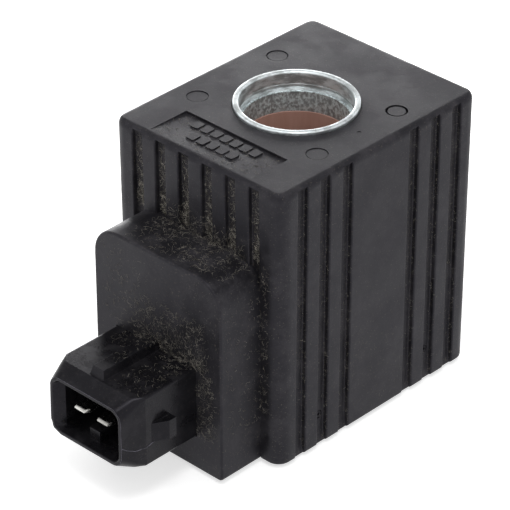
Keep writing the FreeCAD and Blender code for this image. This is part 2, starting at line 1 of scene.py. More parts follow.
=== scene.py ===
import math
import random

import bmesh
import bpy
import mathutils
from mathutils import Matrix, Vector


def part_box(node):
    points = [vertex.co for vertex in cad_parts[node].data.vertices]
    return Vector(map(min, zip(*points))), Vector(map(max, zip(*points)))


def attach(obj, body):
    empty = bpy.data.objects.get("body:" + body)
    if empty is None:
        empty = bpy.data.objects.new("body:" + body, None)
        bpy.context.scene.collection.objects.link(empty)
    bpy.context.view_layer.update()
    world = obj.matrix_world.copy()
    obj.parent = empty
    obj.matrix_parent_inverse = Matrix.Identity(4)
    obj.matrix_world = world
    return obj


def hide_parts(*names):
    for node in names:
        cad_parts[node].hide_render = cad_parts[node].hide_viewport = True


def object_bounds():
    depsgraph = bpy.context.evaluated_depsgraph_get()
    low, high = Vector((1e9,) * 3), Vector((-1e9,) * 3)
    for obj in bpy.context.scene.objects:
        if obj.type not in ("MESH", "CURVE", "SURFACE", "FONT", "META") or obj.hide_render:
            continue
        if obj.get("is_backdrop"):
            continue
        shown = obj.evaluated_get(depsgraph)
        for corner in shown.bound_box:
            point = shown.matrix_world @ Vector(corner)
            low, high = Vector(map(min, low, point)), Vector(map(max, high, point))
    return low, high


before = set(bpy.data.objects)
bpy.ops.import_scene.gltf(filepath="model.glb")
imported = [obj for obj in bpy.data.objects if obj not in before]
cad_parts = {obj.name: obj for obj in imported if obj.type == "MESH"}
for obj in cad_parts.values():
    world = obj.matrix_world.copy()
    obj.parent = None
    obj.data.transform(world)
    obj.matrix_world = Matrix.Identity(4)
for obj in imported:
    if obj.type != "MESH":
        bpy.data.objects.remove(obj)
cad_low, cad_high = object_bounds()

# %% [markdown]
# # A solenoid coil, dressed for its picture
#
# The real object is a coil of copper wire inside a steel frame, and the whole of it is moulded
# into black glass-filled plastic. A second, glossier moulding carries two flat blades for a
# plug. The lines above load the exact solids of that construction. They are in metres, with
# the bore along Z and the plug towards -Y. This file builds the surfaces that a camera sees:
# rounded edges, grain, dust, plated metal and the lint that the part has picked up.

MM = 0.001
ROOT = "root"
scene = bpy.context.scene
random.seed(7)
print("solids loaded:", len(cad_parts))

# %% [markdown]
# ## Sizes come from the solids
#
# Nothing here is measured twice. The box of each solid gives the few lengths that the surfaces
# need, turned into millimetres, because an outline is easier to read in millimetres. Only
# sizes that no box can tell, such as the depth of a flute, are written as numbers. The names
# that start with pad belong to the plug block, the low step on the front that the plug's shroud
# stands on.


# %% Lengths read from the solids, in millimetres
def span(node):
    """Lowest and highest corner of a solid, in millimetres."""
    low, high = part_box(node)
    return low / MM, high / MM


block_low, block_high = span("encapsulation")
half_width, half_depth, cover = block_high
pad_face = block_low.y
ring_low, ring_high = span("upper_ring")
ring_outer, ring_top, plate_top = ring_high.x, ring_high.z, ring_low.z
plate_low, plate_high = span("upper_flux_plate")
plate_under = plate_low.z
yoke_low, yoke_high = span("front_yoke")
coil_high = span("winding")[1]
tape_radius = span("winding_tape")[1].x
shroud_low, shroud_high = span("connector_shroud")
mouth, root_end = shroud_low.y, shroud_high.y
plug_x = (shroud_low.x + shroud_high.x) / 2
blades = {name: span(name) for name in ("left_terminal", "right_terminal")}
blade_low, blade_high = blades["left_terminal"]
blade_z = (blade_low.z + blade_high.z) / 2
print("block", half_width * 2, "x", half_depth * 2, "x", cover * 2, "mm, mouth of the plug at", mouth)

# %% Sizes that no box tells, in millimetres
bore_radius = 8.5
ring_inner = 9.0
flute_width, flute_depth, flute_pitch = 2.1, 0.9, 4.95
front_flutes, side_flutes, corner_land = 6, 3, 5.0
corner_radius, rim_radius, foot_radius = 2.6, 1.2, 0.5
draft = 0.15
pad_left, pad_right, pad_top, pad_corner = -13.8, 13.6, 11.0, 5.0
plug_z = blade_z - 0.4
shroud_half, nose_half, mouth_half = (8.7, 6.4), (8.3, 6.4), (7.8, 5.25)
nose_end, bevel_end = mouth + 4.4, mouth + 2.8
rim_wall, socket_half, socket_depth = 0.6, (6.0, 4.5), 10.0
past = 1.0  # how far a cutter goes past a face, or an added piece into its neighbour
print("flutes:", 2 * front_flutes + 4 * side_flutes)

# %% [markdown]
# ## Three ways to make a mesh
#
# Most moulded and turned pieces are one of two things. A loft joins a row of outlines that all
# have the same number of points. A turned piece spins one profile round an axis. Both are a
# few lines of code, give clean four-sided faces, and leave every size in view. What is left
# over, such as a hole or a marking field, is cut with a boolean modifier.


# %% Mesh helpers
def mesh_piece(name, points, faces):
    """A new object from points in millimetres and faces as lists of point numbers."""
    mesh = bpy.data.meshes.new(name)
    mesh.from_pydata([Vector(point) * MM for point in points], [], faces)
    work = bmesh.new()
    work.from_mesh(mesh)
    bmesh.ops.recalc_face_normals(work, faces=work.faces)
    work.to_mesh(mesh)
    work.free()
    piece = bpy.data.objects.new(name, mesh)
    scene.collection.objects.link(piece)
    return piece


def loft(name, outlines, closed=False):
    """Faces between outlines with equal numbers of points, with flat ends unless closed."""
    count = len(outlines[0])
    points = [point for outline in outlines for point in outline]
    faces = []
    rows = len(outlines)
    for row in range(rows if closed else rows - 1):
        lower, upper = row * count, (row + 1) % rows * count
        for step in range(count):
            after = (step + 1) % count
            faces.append((lower + step, lower + after, upper + after, upper + step))
    if not closed:
        faces.append(tuple(reversed(range(count))))
        faces.append(tuple(range((rows - 1) * count, rows * count)))
    return mesh_piece(name, points, faces)


def turned(name, profile, steps=128, wobble=None):
    """A closed profile of (radius, height) spun about the bore. wobble may move its points."""
    outlines = []
    for step in range(steps):
        angle = 2 * math.pi * step / steps
        outline = []
        for radius, height in profile:
            if wobble:
                radius, height = wobble(radius, height, angle)
            outline.append((radius * math.cos(angle), radius * math.sin(angle), height))
        outlines.append(outline)
    return loft(name, outlines, closed=True)


def threads(name, lines):
    """Three-sided tubes. Each line is (path, direction away from the surface, radius)."""
    points, faces = [], []
    for path, normal, radius in lines:
        first, last = len(points), len(path) - 1
        for step, place in enumerate(path):
            ahead = path[min(step + 1, last)] - path[max(step - 1, 0)]
            side = ahead.cross(normal).normalized()
            for across, up in arc((0, 0), 1, 90, 330, 2):
                points.append(place + (normal * up + side * across) * radius)
        for step in range(last):
            low, high = first + step * 3, first + step * 3 + 3
            for turn in range(3):
                after = (turn + 1) % 3
                faces.append((low + turn, low + after, high + after, high + turn))
        faces.append((first, first + 2, first + 1))
        faces.append((first + last * 3, first + last * 3 + 1, first + last * 3 + 2))
    piece = mesh_piece(name, points, faces)
    for face in piece.data.polygons:
        face.use_smooth = True
    return piece


def arc(centre, radius, start, end, steps):
    """Points on an arc, with its angles in degrees."""
    points = []
    for step in range(steps + 1):
        angle = math.radians(start + (end - start) * step / steps)
        points.append((centre[0] + radius * math.cos(angle), centre[1] + radius * math.sin(angle)))
    return points


def box_piece(name, low, high):
    """A plain box, used as a cutter."""
    corners = [(low[0], low[1]), (high[0], low[1]), (high[0], high[1]), (low[0], high[1])]
    return loft(name, [[(x, y, low[2]) for x, y in corners], [(x, y, high[2]) for x, y in corners]])


print("mesh helpers ready")

# %% [markdown]
# ## Clean shading
#
# A cut leaves big flat faces beside tiny round ones. If all of them were shaded smooth, the
# flat ones would look dented. So normals are weighted by face area, and edges sharper than a
# set angle stay crisp. Recalculating the outside keeps every face pointing the right way.


# %% Cutting and finishing helpers
def settle(piece):
    """Turn the modifiers of a piece into plain mesh."""
    evaluated = piece.evaluated_get(bpy.context.evaluated_depsgraph_get())
    mesh = bpy.data.meshes.new_from_object(evaluated)
    piece.modifiers.clear()
    piece.data = mesh


def combine(piece, tools, operation):
    """Add or cut closed meshes. The tools are used up."""
    for tool in tools:
        modifier = piece.modifiers.new(operation.title(), "BOOLEAN")
        modifier.operation = operation
        modifier.solver = "EXACT"
        modifier.object = tool
    settle(piece)
    for tool in tools:
        bpy.data.objects.remove(tool)


def soften(piece, width, angle, segments):
    """Round the edges that are sharper than an angle."""
    modifier = piece.modifiers.new("Soften", "BEVEL")
    modifier.width = width * MM
    modifier.segments = segments
    modifier.limit_method = "ANGLE"
    modifier.angle_limit = math.radians(angle)
    modifier.use_clamp_overlap = True
    settle(piece)


def smooth(piece, angle=32):
    """Outside normals, smooth faces, crisp edges above the angle, flat faces kept flat."""
    work = bmesh.new()
    work.from_mesh(piece.data)
    bmesh.ops.remove_doubles(work, verts=work.verts, dist=0.0005 * MM)
    bmesh.ops.recalc_face_normals(work, faces=work.faces)
    for face in work.faces:
        face.smooth = True
    work.to_mesh(piece.data)
    work.free()
    piece.data.set_sharp_from_angle(angle=math.radians(angle))
    modifier = piece.modifiers.new("Weighted normals", "WEIGHTED_NORMAL")
    modifier.keep_sharp = True
    modifier.weight = 60
    settle(piece)


def dress(piece, material, slot, *nodes):
    """Give a piece its material and body, and let it stand for the solids it shows."""
    piece.data.materials.clear()
    piece.data.materials.append(material)
    if nodes:
        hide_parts(*nodes)
    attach(piece, ROOT)
    print(piece.name, "has", len(piece.data.polygons), "faces")


print("finishing helpers ready")

# %% [markdown]
# ## Effects that several materials share
#
# Grain, dust, worn edges and fine scratches come back on more than one piece, so each is a
# node group with named inputs. A group gives out masks and heights only. The shader that uses
# them stays in the material, where its plain numbers can be read at a glance. Wiring nodes by
# hand in code is long, so a few helpers do it: each adds one node and gives back its output.


# %% Node helpers
def node(tree, kind, inputs=None, **settings):
    """A node with its settings, its inputs set to numbers or linked to other outputs."""
    made = tree.nodes.new(kind)
    for name, value in settings.items():
        setattr(made, name, value)
    for name, value in (inputs or {}).items():
        if isinstance(value, bpy.types.NodeSocket):
            tree.links.new(value, made.inputs[name])
        else:
            made.inputs[name].default_value = value
    return made


def maths(tree, operation, first, second=0.0, clamp=False):
    """One step of arithmetic with two values."""
    made = node(tree, "ShaderNodeMath", {0: first, 1: second}, operation=operation, use_clamp=clamp)
    return made.outputs[0]


def ranged(tree, value, low, high, to_low=0.0, to_high=1.0):
    """A value spread smoothly from one range to another."""
    made = node(tree, "ShaderNodeMapRange", {0: value, 1: low, 2: high, 3: to_low, 4: to_high},
                interpolation_type="SMOOTHSTEP")
    return made.outputs[0]


def mixed(tree, factor, first, second):
    """A blend of two colours."""
    made = node(tree, "ShaderNodeMix", {0: factor, 6: first, 7: second}, data_type="RGBA")
    return made.outputs[2]


def noise(tree, place, size, detail=3.0, roughness=0.55, stretch=(1, 1, 1)):
    """Noise with lumps about size millimetres across. A small stretch makes them long that way."""
    if isinstance(size, bpy.types.NodeSocket):
        scale = maths(tree, "DIVIDE", 1 / MM, size)
    else:
        scale = 1 / (size * MM)
    scaled = node(tree, "ShaderNodeVectorMath", {0: place, 1: stretch}, operation="MULTIPLY")
    made = node(tree, "ShaderNodeTexNoise", {"Vector": scaled.outputs[0], "Scale": scale,
                                             "Detail": detail, "Roughness": roughness})
    return made.outputs["Fac"]


def own_place(tree):
    """Where a point is on the piece itself, so that a pattern stays fixed to it."""
    return tree.nodes.new("ShaderNodeTexCoord").outputs["Object"]


def upward_part(tree):
    """How far the surface faces up: 1 on a level top, 0 on a wall, -1 underneath."""
    normal = tree.nodes.new("ShaderNodeNewGeometry").outputs["Normal"]
    return node(tree, "ShaderNodeSeparateXYZ", {0: normal}).outputs["Z"]


def effect(name, inputs, outputs):
    """An empty node group with value inputs and outputs, and the place of each point in it."""
    group = bpy.data.node_groups.new(name, "ShaderNodeTree")
    for label, value in inputs.items():
        socket = group.interface.new_socket(label, in_out="INPUT", socket_type="NodeSocketFloat")
        socket.default_value = value
    for label in outputs:
        group.interface.new_socket(label, in_out="OUTPUT", socket_type="NodeSocketFloat")
    given = group.nodes.new("NodeGroupInput")
    wanted = group.nodes.new("NodeGroupOutput")
    return group, given.outputs, wanted.inputs, own_place(group)


print("node helpers ready")


# %% [markdown]
# ### Moulded grain
#
# Plastic filled with glass has a fine uneven skin, because the fibres lie just under it. A
# picture of such a skin would repeat and would need unwrapping. Two noises do the same job at
# any scale: a fine one for the skin, and a coarser one drawn out along Z, the way the melt
# flowed up the mould. A third, slow one gives a mottle, since no moulding is evenly black.


# %% Moulded grain: the fine skin of glass-filled plastic
def make_grain():
    """Height of the skin and a slow mottle where the melt flowed."""
    group, given, wanted, place = effect("Moulded grain", {"Size": 0.3}, ("Height", "Mottle"))
    fine = noise(group, place, given["Size"], 4.0, 0.6)
    fibres = noise(group, place, 1.1, 2.0, 0.5, stretch=(1.0, 1.0, 0.35))
    height = maths(group, "ADD", fine, maths(group, "MULTIPLY", fibres, 0.6))
    group.links.new(height, wanted["Height"])
    slow = noise(group, place, 9.0, 4.0, 0.6)
    group.links.new(ranged(group, slow, 0.36, 0.66), wanted["Mottle"])
    return group


GRAIN = make_grain()
print("group:", GRAIN.name)


# %% [markdown]
# ### Settled dust
#
# Dust shows in two ways on black: as a thin grey bloom in clouds, and as single pale specks. It
# lies thicker on faces that look up, which the surface normal tells, and it stays where a
# finger can't reach. No node knows where that is, so a material says it through the input Held.


# %% Settled dust: pale bloom and specks, thicker where a material says that it is held
def make_dust():
    """Masks of pale dust. The input Held tells where it can't be wiped away."""
    inputs = {"Amount": 1.0, "Held": 0.0, "Speck size": 0.25}
    group, given, wanted, place = effect("Settled dust", inputs, ("Bloom", "Specks"))
    amount, held = given["Amount"], given["Held"]
    upward = ranged(group, upward_part(group), 0.1, 0.95, 0.5, 0.8)
    patches = ranged(group, noise(group, place, 4.0, 6.0, 0.7), 0.42, 0.68)
    bloom = maths(group, "MULTIPLY", patches, maths(group, "ADD", upward, held))
    group.links.new(maths(group, "MULTIPLY", bloom, amount, clamp=True), wanted["Bloom"])
    fine = noise(group, place, given["Speck size"], 2.0, 0.5)
    rare = maths(group, "MULTIPLY", ranged(group, fine, 0.64, 0.74), 0.5)
    dense = maths(group, "MULTIPLY", ranged(group, fine, 0.50, 0.66), held)
    specks = maths(group, "ADD", rare, dense)
    group.links.new(maths(group, "MULTIPLY", specks, amount, clamp=True), wanted["Specks"])
    return group


DUST = make_dust()
print("group:", DUST.name)


# %% [markdown]
# ### Worn edges
#
# Handling rubs the edges of a moulding first, and they turn paler. Painting each edge would be
# slow, and it would have to be done again after each change of shape. The Bevel node finds the
# edges by itself: it gives a normal that is rounded over a short radius, and wherever that
# differs from the true normal, an edge is near. Noise breaks the line up.


# %% Worn edges: where handling has rubbed the skin
def make_wear():
    """Mask along edges, found by comparing the true normal with a rounded one."""
    group, given, wanted, place = effect("Worn edges", {"Width": 0.4}, ("Mask",))
    radius = maths(group, "MULTIPLY", given["Width"], MM)
    rounded = node(group, "ShaderNodeBevel", {"Radius": radius}, samples=6)
    true = group.nodes.new("ShaderNodeNewGeometry").outputs["Normal"]
    alike = node(group, "ShaderNodeVectorMath", {0: rounded.outputs[0], 1: true}, operation="DOT_PRODUCT")
    edge = ranged(group, alike.outputs["Value"], 0.995, 0.85)
    broken = ranged(group, noise(group, place, 1.6, 4.0, 0.7), 0.35, 0.6)
    group.links.new(maths(group, "MULTIPLY", edge, broken), wanted["Mask"])
    return group


WEAR = make_wear()
print("group:", WEAR.name)


# %% [markdown]
# ### Fine scratches
#
# Plated metal that has been handled carries hairlines in all directions. Noise that is drawn
# out along one axis gives lines, and three such noises, each turned another way, cross each
# other. Only the peaks of the noise are used, so the lines stay thin and apart.


# %% Fine scratches: hairlines in several directions, for metal
def make_scratches():
    """Mask of thin lines, made from three stretched noises that cross each other."""
    group, given, wanted, place = effect("Fine scratches", {"Size": 0.12}, ("Mask",))
    lines = []
    for turn in (0.5, -0.9, 1.9):
        inputs = {"Vector": place, "Axis": (0.3, 0.5, 0.8), "Angle": turn}
        leaned = node(group, "ShaderNodeVectorRotate", inputs, rotation_type="AXIS_ANGLE").outputs[0]
        hairs = noise(group, leaned, given["Size"], 1.0, 0.5, stretch=(1.0, 0.04, 0.3))
        lines.append(ranged(group, hairs, 0.66, 0.74))
    total = maths(group, "ADD", maths(group, "ADD", lines[0], lines[1]), lines[2], clamp=True)
    group.links.new(total, wanted["Mask"])
    return group


SCRATCHES = make_scratches()
print("group:", SCRATCHES.name)


# %% [markdown]
# ## The finishes
#
# Every material is one Principled shader. Its colour, roughness and bump come from the groups
# above, each with its own values, and everything that doesn't change over the surface is a
# plain number on the shader.


# %% A material and the groups in it
def finish_of(name, **numbers):
    """A new material with its node tree and shader, its plain numbers already set."""
    material = bpy.data.materials.new(name)
    material.use_nodes = True
    tree = material.node_tree
    shader = tree.nodes["Principled BSDF"]
    for label, value in numbers.items():
        shader.inputs[label.replace("_", " ")].default_value = value
    return material, tree, shader


def placed(tree, group, **inputs):
    """One use of a shared effect, with its inputs set to numbers or linked."""
    inputs = {label.replace("_", " "): value for label, value in inputs.items()}
    return node(tree, "ShaderNodeGroup", inputs, node_tree=group).outputs


def bumped(tree, shader, height, strength, depth):
    """Send a height to the shader's normal, with depth in millimetres."""
    bump = node(tree, "ShaderNodeBump", {"Height": height, "Strength": strength, "Distance": depth * MM})
    tree.links.new(bump.outputs[0], shader.inputs["Normal"])


print("material helpers ready")


# %% [markdown]
# ## Black plastics
#
# The block and the shroud are both black, and yet they look different. The block is matt with a
# coarse skin, and a thin grey film of dust dulls it. The shroud is smoother and blacker, and
# what it mirrors is sharper. One function makes both from different numbers, so that they stay
# relatives. The thin flash at the parting of the shroud is the same plastic, only so thin that
# light gets through, and that light is painted into it as a grey colour.
#
# The flutes hold more dust than the lands. A floor is found by its depth: it lies one flute
# depth below the skin of its side, and between two corners of the block.

# %% Where the flutes hold dust
side_hold, front_hold = 0.12, 0.22


def flute_mask(tree):
    """How much dust each point holds: some on the floors of the flutes, none elsewhere."""
    place = node(tree, "ShaderNodeSeparateXYZ", {0: own_place(tree)}).outputs
    floors = []
    for axis, reach, other, other_reach, hold in (("X", half_width, "Y", half_depth, side_hold),
                                                  ("Y", half_depth, "X", half_width, front_hold)):
        distance = maths(tree, "ABSOLUTE", place[axis])
        across = maths(tree, "ABSOLUTE", place[other])
        between = maths(tree, "LESS_THAN", across, (other_reach - corner_radius - 0.5) * MM)
        floor = reach - flute_depth
        low = ranged(tree, distance, (floor + 0.5 * flute_depth) * MM, (floor + 0.1) * MM)
        outside = maths(tree, "GREATER_THAN", distance, (floor - 0.05) * MM)
        floor_only = maths(tree, "MULTIPLY", maths(tree, "MULTIPLY", low, outside), between)
        floors.append(maths(tree, "MULTIPLY", floor_only, hold))
    under_the_top = maths(tree, "LESS_THAN", place["Z"], (cover - 0.3) * MM)
    return maths(tree, "MULTIPLY", maths(tree, "MAXIMUM", floors[0], floors[1]), under_the_top)


print("mask for the flutes ready")


# %% Black plastics: the matt block and the glossier plug shroud
cold_gloss = (0.95, 0.92, 1.06, 1.0)
bloom_colour, speck_colour = (0.125, 0.118, 0.128, 1), (0.25, 0.215, 0.16, 1)


def bluish(value):
    """The faintly blue black of carbon-filled plastic, as a colour."""
    return (value, value * 0.96, value * 1.16, 1.0)


def make_black(name, dark, pale, shine, roughness, grain_size, grain_depth, dust_amount, held=None):
    """Black moulded plastic with grain, dust and rubbed edges."""
    material, tree, shader = finish_of(name, Specular_IOR_Level=shine, Specular_Tint=cold_gloss)
    grain = placed(tree, GRAIN, Size=grain_size)
    dust = placed(tree, DUST, Amount=dust_amount, Held=held(tree) if held else 0.0)
    wear = placed(tree, WEAR, Width=0.45)
    colour = mixed(tree, grain["Mottle"], bluish(dark), bluish(pale))
    colour = mixed(tree, maths(tree, "MULTIPLY", wear["Mask"], 0.35), colour, bluish(pale * 3.0))
    colour = mixed(tree, maths(tree, "MULTIPLY", dust["Bloom"], 0.32), colour, bloom_colour)
    colour = mixed(tree, maths(tree, "MULTIPLY", dust["Specks"], 0.55), colour, speck_colour)
    tree.links.new(colour, shader.inputs["Base Color"])
    rough = ranged(tree, grain["Mottle"], 0.0, 1.0, *roughness)
    rough = maths(tree, "ADD", rough, maths(tree, "MULTIPLY", dust["Bloom"], 0.15), clamp=True)
    tree.links.new(rough, shader.inputs["Roughness"])
    height = maths(tree, "ADD", grain["Height"], maths(tree, "MULTIPLY", dust["Specks"], 0.8))
    bumped(tree, shader, height, 0.55, grain_depth)
    return material


BLOCK_BLACK = make_black("Black glass-filled plastic", dark=0.009, pale=0.014, shine=0.26,
                         roughness=(0.44, 0.54), grain_size=0.28, grain_depth=0.03,
                         dust_amount=1.15, held=flute_mask)
SHROUD_BLACK = make_black("Black half-gloss plastic", dark=0.0065, pale=0.0095, shine=0.16,
                          roughness=(0.24, 0.32), grain_size=0.5, grain_depth=0.008,
                          dust_amount=0.5)
# Painted light: the grey stands for light through the thin flash and the bright line along the rim.
FLASH_PAINTED_GREY = make_black("Thin flash of the shroud, painted grey", dark=0.07, pale=0.13, shine=0.3,
                        roughness=(0.25, 0.35), grain_size=0.4, grain_depth=0.01,
                        dust_amount=0.3)
print("black plastics ready")


# %% [markdown]
# ## Metals
#
# The metals of this part differ in colour, in roughness and in the direction of their tool
# marks: round the bore on the turned ring, through the plate where the punch tore it, and along
# the blades. Each is one call of the same function, and streak tells how a mark is drawn out:
# a small number makes it long along that axis. Level faces can be given painted shade: the flat
# top of the ring is painted darker, so that the lamp's mirror image doesn't turn it white.


# %% Metals: zinc ring, punched plate, tinned blade, bare steel, solder and copper
def shaded(colour, share):
    """A colour made darker."""
    return tuple(value * share for value in colour[:3]) + (1.0,)


def make_metal(name, colour, roughness, streak, depth, dark_share=0.62, painted_dark_top=0.0):
    """Metal whose roughness and colour drift over streaks, and whose level faces can be given painted
    shade.
    """
    material, tree, shader = finish_of(name, Metallic=1.0)
    place = own_place(tree)
    slow = noise(tree, place, 2.2, 4.0, 0.6, streak)
    fine = noise(tree, place, 0.22, 3.0, 0.6, streak)
    marks = placed(tree, SCRATCHES)["Mask"]
    # Painted shade: level faces are darkened, for the flat top of the ring that the lamp's mirror image
    # would turn white.
    level = ranged(tree, maths(tree, "ABSOLUTE", upward_part(tree)), 0.93, 0.99, 0.0, painted_dark_top)
    tint = mixed(tree, ranged(tree, slow, 0.38, 0.62), colour, shaded(colour, dark_share))
    tint = mixed(tree, level, tint, shaded(colour, 0.2))
    tree.links.new(tint, shader.inputs["Base Color"])
    rough = ranged(tree, fine, 0.3, 0.7, *roughness)
    rough = maths(tree, "ADD", rough, maths(tree, "MULTIPLY", marks, 0.12), clamp=True)
    tree.links.new(rough, shader.inputs["Roughness"])
    bumped(tree, shader, maths(tree, "ADD", fine, marks), 0.4, depth)
    return material


# The flat top of the ring is painted darker as painted shade.
RING_ZINC = make_metal("Turned bright zinc", (0.90, 0.955, 0.97, 1), roughness=(0.28, 0.58),
                       streak=(0.8, 0.8, 2.2), depth=0.014, dark_share=0.5, painted_dark_top=0.5)
PLATE_STEEL = make_metal("Punched steel edge", (0.84, 0.92, 0.93, 1), roughness=(0.40, 0.62),
                         streak=(4.5, 4.5, 3.5), depth=0.18, dark_share=0.45)
FRAME_STEEL = make_metal("Bare frame steel", (0.46, 0.45, 0.43, 1), roughness=(0.32, 0.50),
                         streak=(1.0, 1.0, 0.2), depth=0.01)
BLADE_TIN = make_metal("Tinned blade", (0.64, 0.63, 0.60, 1), roughness=(0.20, 0.28),
                       streak=(1.0, 0.12, 1.0), depth=0.0008)
SOLDER_TIN = make_metal("Solder", (0.66, 0.66, 0.67, 1), roughness=(0.25, 0.42),
                        streak=(1.0, 1.0, 1.0), depth=0.02)
COPPER = make_metal("Enamelled copper", (0.78, 0.36, 0.18, 1), roughness=(0.22, 0.34),
                    streak=(0.4, 0.4, 1.0), depth=0.004)
print("metals ready")


# %% [markdown]
# ## Brown bobbin, amber tape, varnished sleeve and lint
#
# These four have little in common, so each has its own few nodes. The bobbin has long flow
# streaks along the bore, and its brown is painted lighter than it is, for the light deep in the bore.
# The tape is a clear film, hence the coat over its colour. The sleeve is braided from glass, which
# two crossed waves show well at its small size. Lint is many single fibres, so its colour changes
# over about the length of one fibre. There are two kinds of it: the lint in the front flutes is
# painted brighter, for the light that falls straight on it.


# %% Brown bobbin, amber tape, varnished sleeve and lint
def make_bobbin_brown():
    """Satin brown moulding with faint flow streaks along the bore, painted lighter than its own brown for
    the light deep in the bore.
    """
    material, tree, shader = finish_of("Brown bobbin plastic, painted lighter", Specular_IOR_Level=0.5)
    grain = placed(tree, GRAIN, Size=0.4)
    streaks = noise(tree, own_place(tree), 1.8, 4.0, 0.6, stretch=(1.0, 1.0, 0.12))
    # Painted light: both browns are lighter than the plastic, to stand in for light that reaches deep into
    # the bore.
    dark, pale = (0.48, 0.270, 0.215, 1), (0.55, 0.325, 0.265, 1)
    colour = mixed(tree, ranged(tree, streaks, 0.3, 0.75), dark, pale)
    tree.links.new(colour, shader.inputs["Base Color"])
    tree.links.new(ranged(tree, grain["Mottle"], 0.0, 1.0, 0.34, 0.46), shader.inputs["Roughness"])
    bumped(tree, shader, grain["Height"], 0.3, 0.01)
    return material


def make_tape_amber():
    """Polyester film wound over the coil, with the turns below showing as faint ribs."""
    material, tree, shader = finish_of("Amber film tape", Coat_Weight=0.4, Coat_Roughness=0.12)
    folds = noise(tree, own_place(tree), 3.0, 3.0, 0.5, stretch=(0.3, 0.3, 1.4))
    dark, pale = (0.52, 0.27, 0.03, 1), (0.66, 0.40, 0.07, 1)
    colour = mixed(tree, ranged(tree, folds, 0.35, 0.65), dark, pale)
    tree.links.new(colour, shader.inputs["Base Color"])
    tree.links.new(ranged(tree, folds, 0.3, 0.7, 0.22, 0.4), shader.inputs["Roughness"])
    bumped(tree, shader, folds, 0.4, 0.06)
    return material


def make_sleeve_braid():
    """Varnished glass braid: two crossing waves round the sleeve."""
    material, tree, shader = finish_of("Varnished glass braid", Specular_IOR_Level=0.5)
    place = own_place(tree)
    waves = []
    for slope in (1.0, -1.0):
        inputs = {"Vector": place, "Angle": slope * math.pi / 4}
        leaned = node(tree, "ShaderNodeVectorRotate", inputs, rotation_type="X_AXIS").outputs[0]
        inputs = {"Vector": leaned, "Scale": 900.0, "Distortion": 0.6}
        wave = node(tree, "ShaderNodeTexWave", inputs, bands_direction="Y")
        waves.append(wave.outputs["Fac"])
    braid = maths(tree, "MAXIMUM", waves[0], waves[1])
    colour = mixed(tree, braid, (0.36, 0.30, 0.18, 1), (0.70, 0.64, 0.47, 1))
    tree.links.new(colour, shader.inputs["Base Color"])
    tree.links.new(ranged(tree, braid, 0.0, 1.0, 0.65, 0.45), shader.inputs["Roughness"])
    bumped(tree, shader, braid, 0.5, 0.05)
    return material


def make_lint(name, dark, pale):
    """Fibres that differ a little in colour from one to the next."""
    material, tree, shader = finish_of(name, Specular_IOR_Level=0.1, Sheen_Weight=0.2)
    place = own_place(tree)
    shade = ranged(tree, noise(tree, place, 0.9, 2.0), 0.35, 0.65)
    tree.links.new(mixed(tree, shade, dark, pale), shader.inputs["Base Color"])
    tree.links.new(ranged(tree, shade, 0.0, 1.0, 0.95, 0.75), shader.inputs["Roughness"])
    bumped(tree, shader, noise(tree, place, 0.1, 2.0), 0.4, 0.01)
    return material


BOBBIN_PAINTED_LIGHTER = make_bobbin_brown()
TAPE_AMBER = make_tape_amber()
SLEEVE_BRAID = make_sleeve_braid()
LINT_PALE = make_lint("Lint", (0.11, 0.099, 0.080, 1), (0.40, 0.370, 0.315, 1))
# Painted light: the lint in the front flutes is painted brighter, for the light that falls straight on it.
LINT_PAINTED_LIT = make_lint("Lint in the flutes", (0.10, 0.090, 0.070, 1), (0.78, 0.730, 0.620, 1))
print("plastics and braid ready")

# %% [markdown]
# ## The black block
#
# The block is moulded round the finished coil. Its flutes save plastic and help it shed heat.
# One outline with all 24 flutes is lofted upwards. It widens a little on the way, because a
# moulding has to leave its tool. Under the upper rim the floors of the flutes swing out to the
# skin in a quarter round, near the foot they get shallower, and the last outlines move in,
# which rounds the rim. Cutting the flutes out of a plain box would need 24 booleans and would
# leave sharp lips. Here lips and roots are arcs in the outline itself.


# %% Outline with its flutes
front_row = [(index - (front_flutes - 1) / 2) * flute_pitch for index in range(front_flutes)]
side_row = [half_depth - corner_land - index * flute_pitch for index in range(side_flutes)]
side_row = sorted(side_row + [-place for place in side_row])
lip_radius, root_radius, shallowest, corner_tightening = 0.28, 0.25, 0.005, 1.7
runout_start, runout_end, foot_blend, foot_loss = 1.7, 0.5, 2.0, 0.45


def depth_at(height):
    """Depth of the flutes at a height. It falls to nothing under the rim and is less at the foot."""
    share = (runout_start - (cover - height)) / (runout_start - runout_end)
    foot_share = min(1.0, (cover + height) / foot_blend)
    shallower = 1.0 - foot_loss * (1.0 - foot_share) ** 2
    return shallower * flute_depth * math.sqrt(1 - min(1.0, max(0.0, share)) ** 2)


def side_line(reach, row, inset, depth):
    """Points along one side, as (along, outwards), with a rounded lip and root at each flute."""
    skin = reach - inset
    floor = min(reach - depth, skin - shallowest)
    room = 0.45 * (skin - floor)
    lip, root = min(lip_radius, room), min(root_radius, room)
    points = []
    for middle in row:
        left, right = middle - flute_width / 2, middle + flute_width / 2
        points += arc((left - lip, skin - lip), lip, 90, 0, 3)
        points += arc((left + root, floor + root), root, 180, 270, 3)
        points += arc((right - root, floor + root), root, 270, 360, 3)
        points += arc((right + lip, skin - lip), lip, 180, 90, 3)
    return points


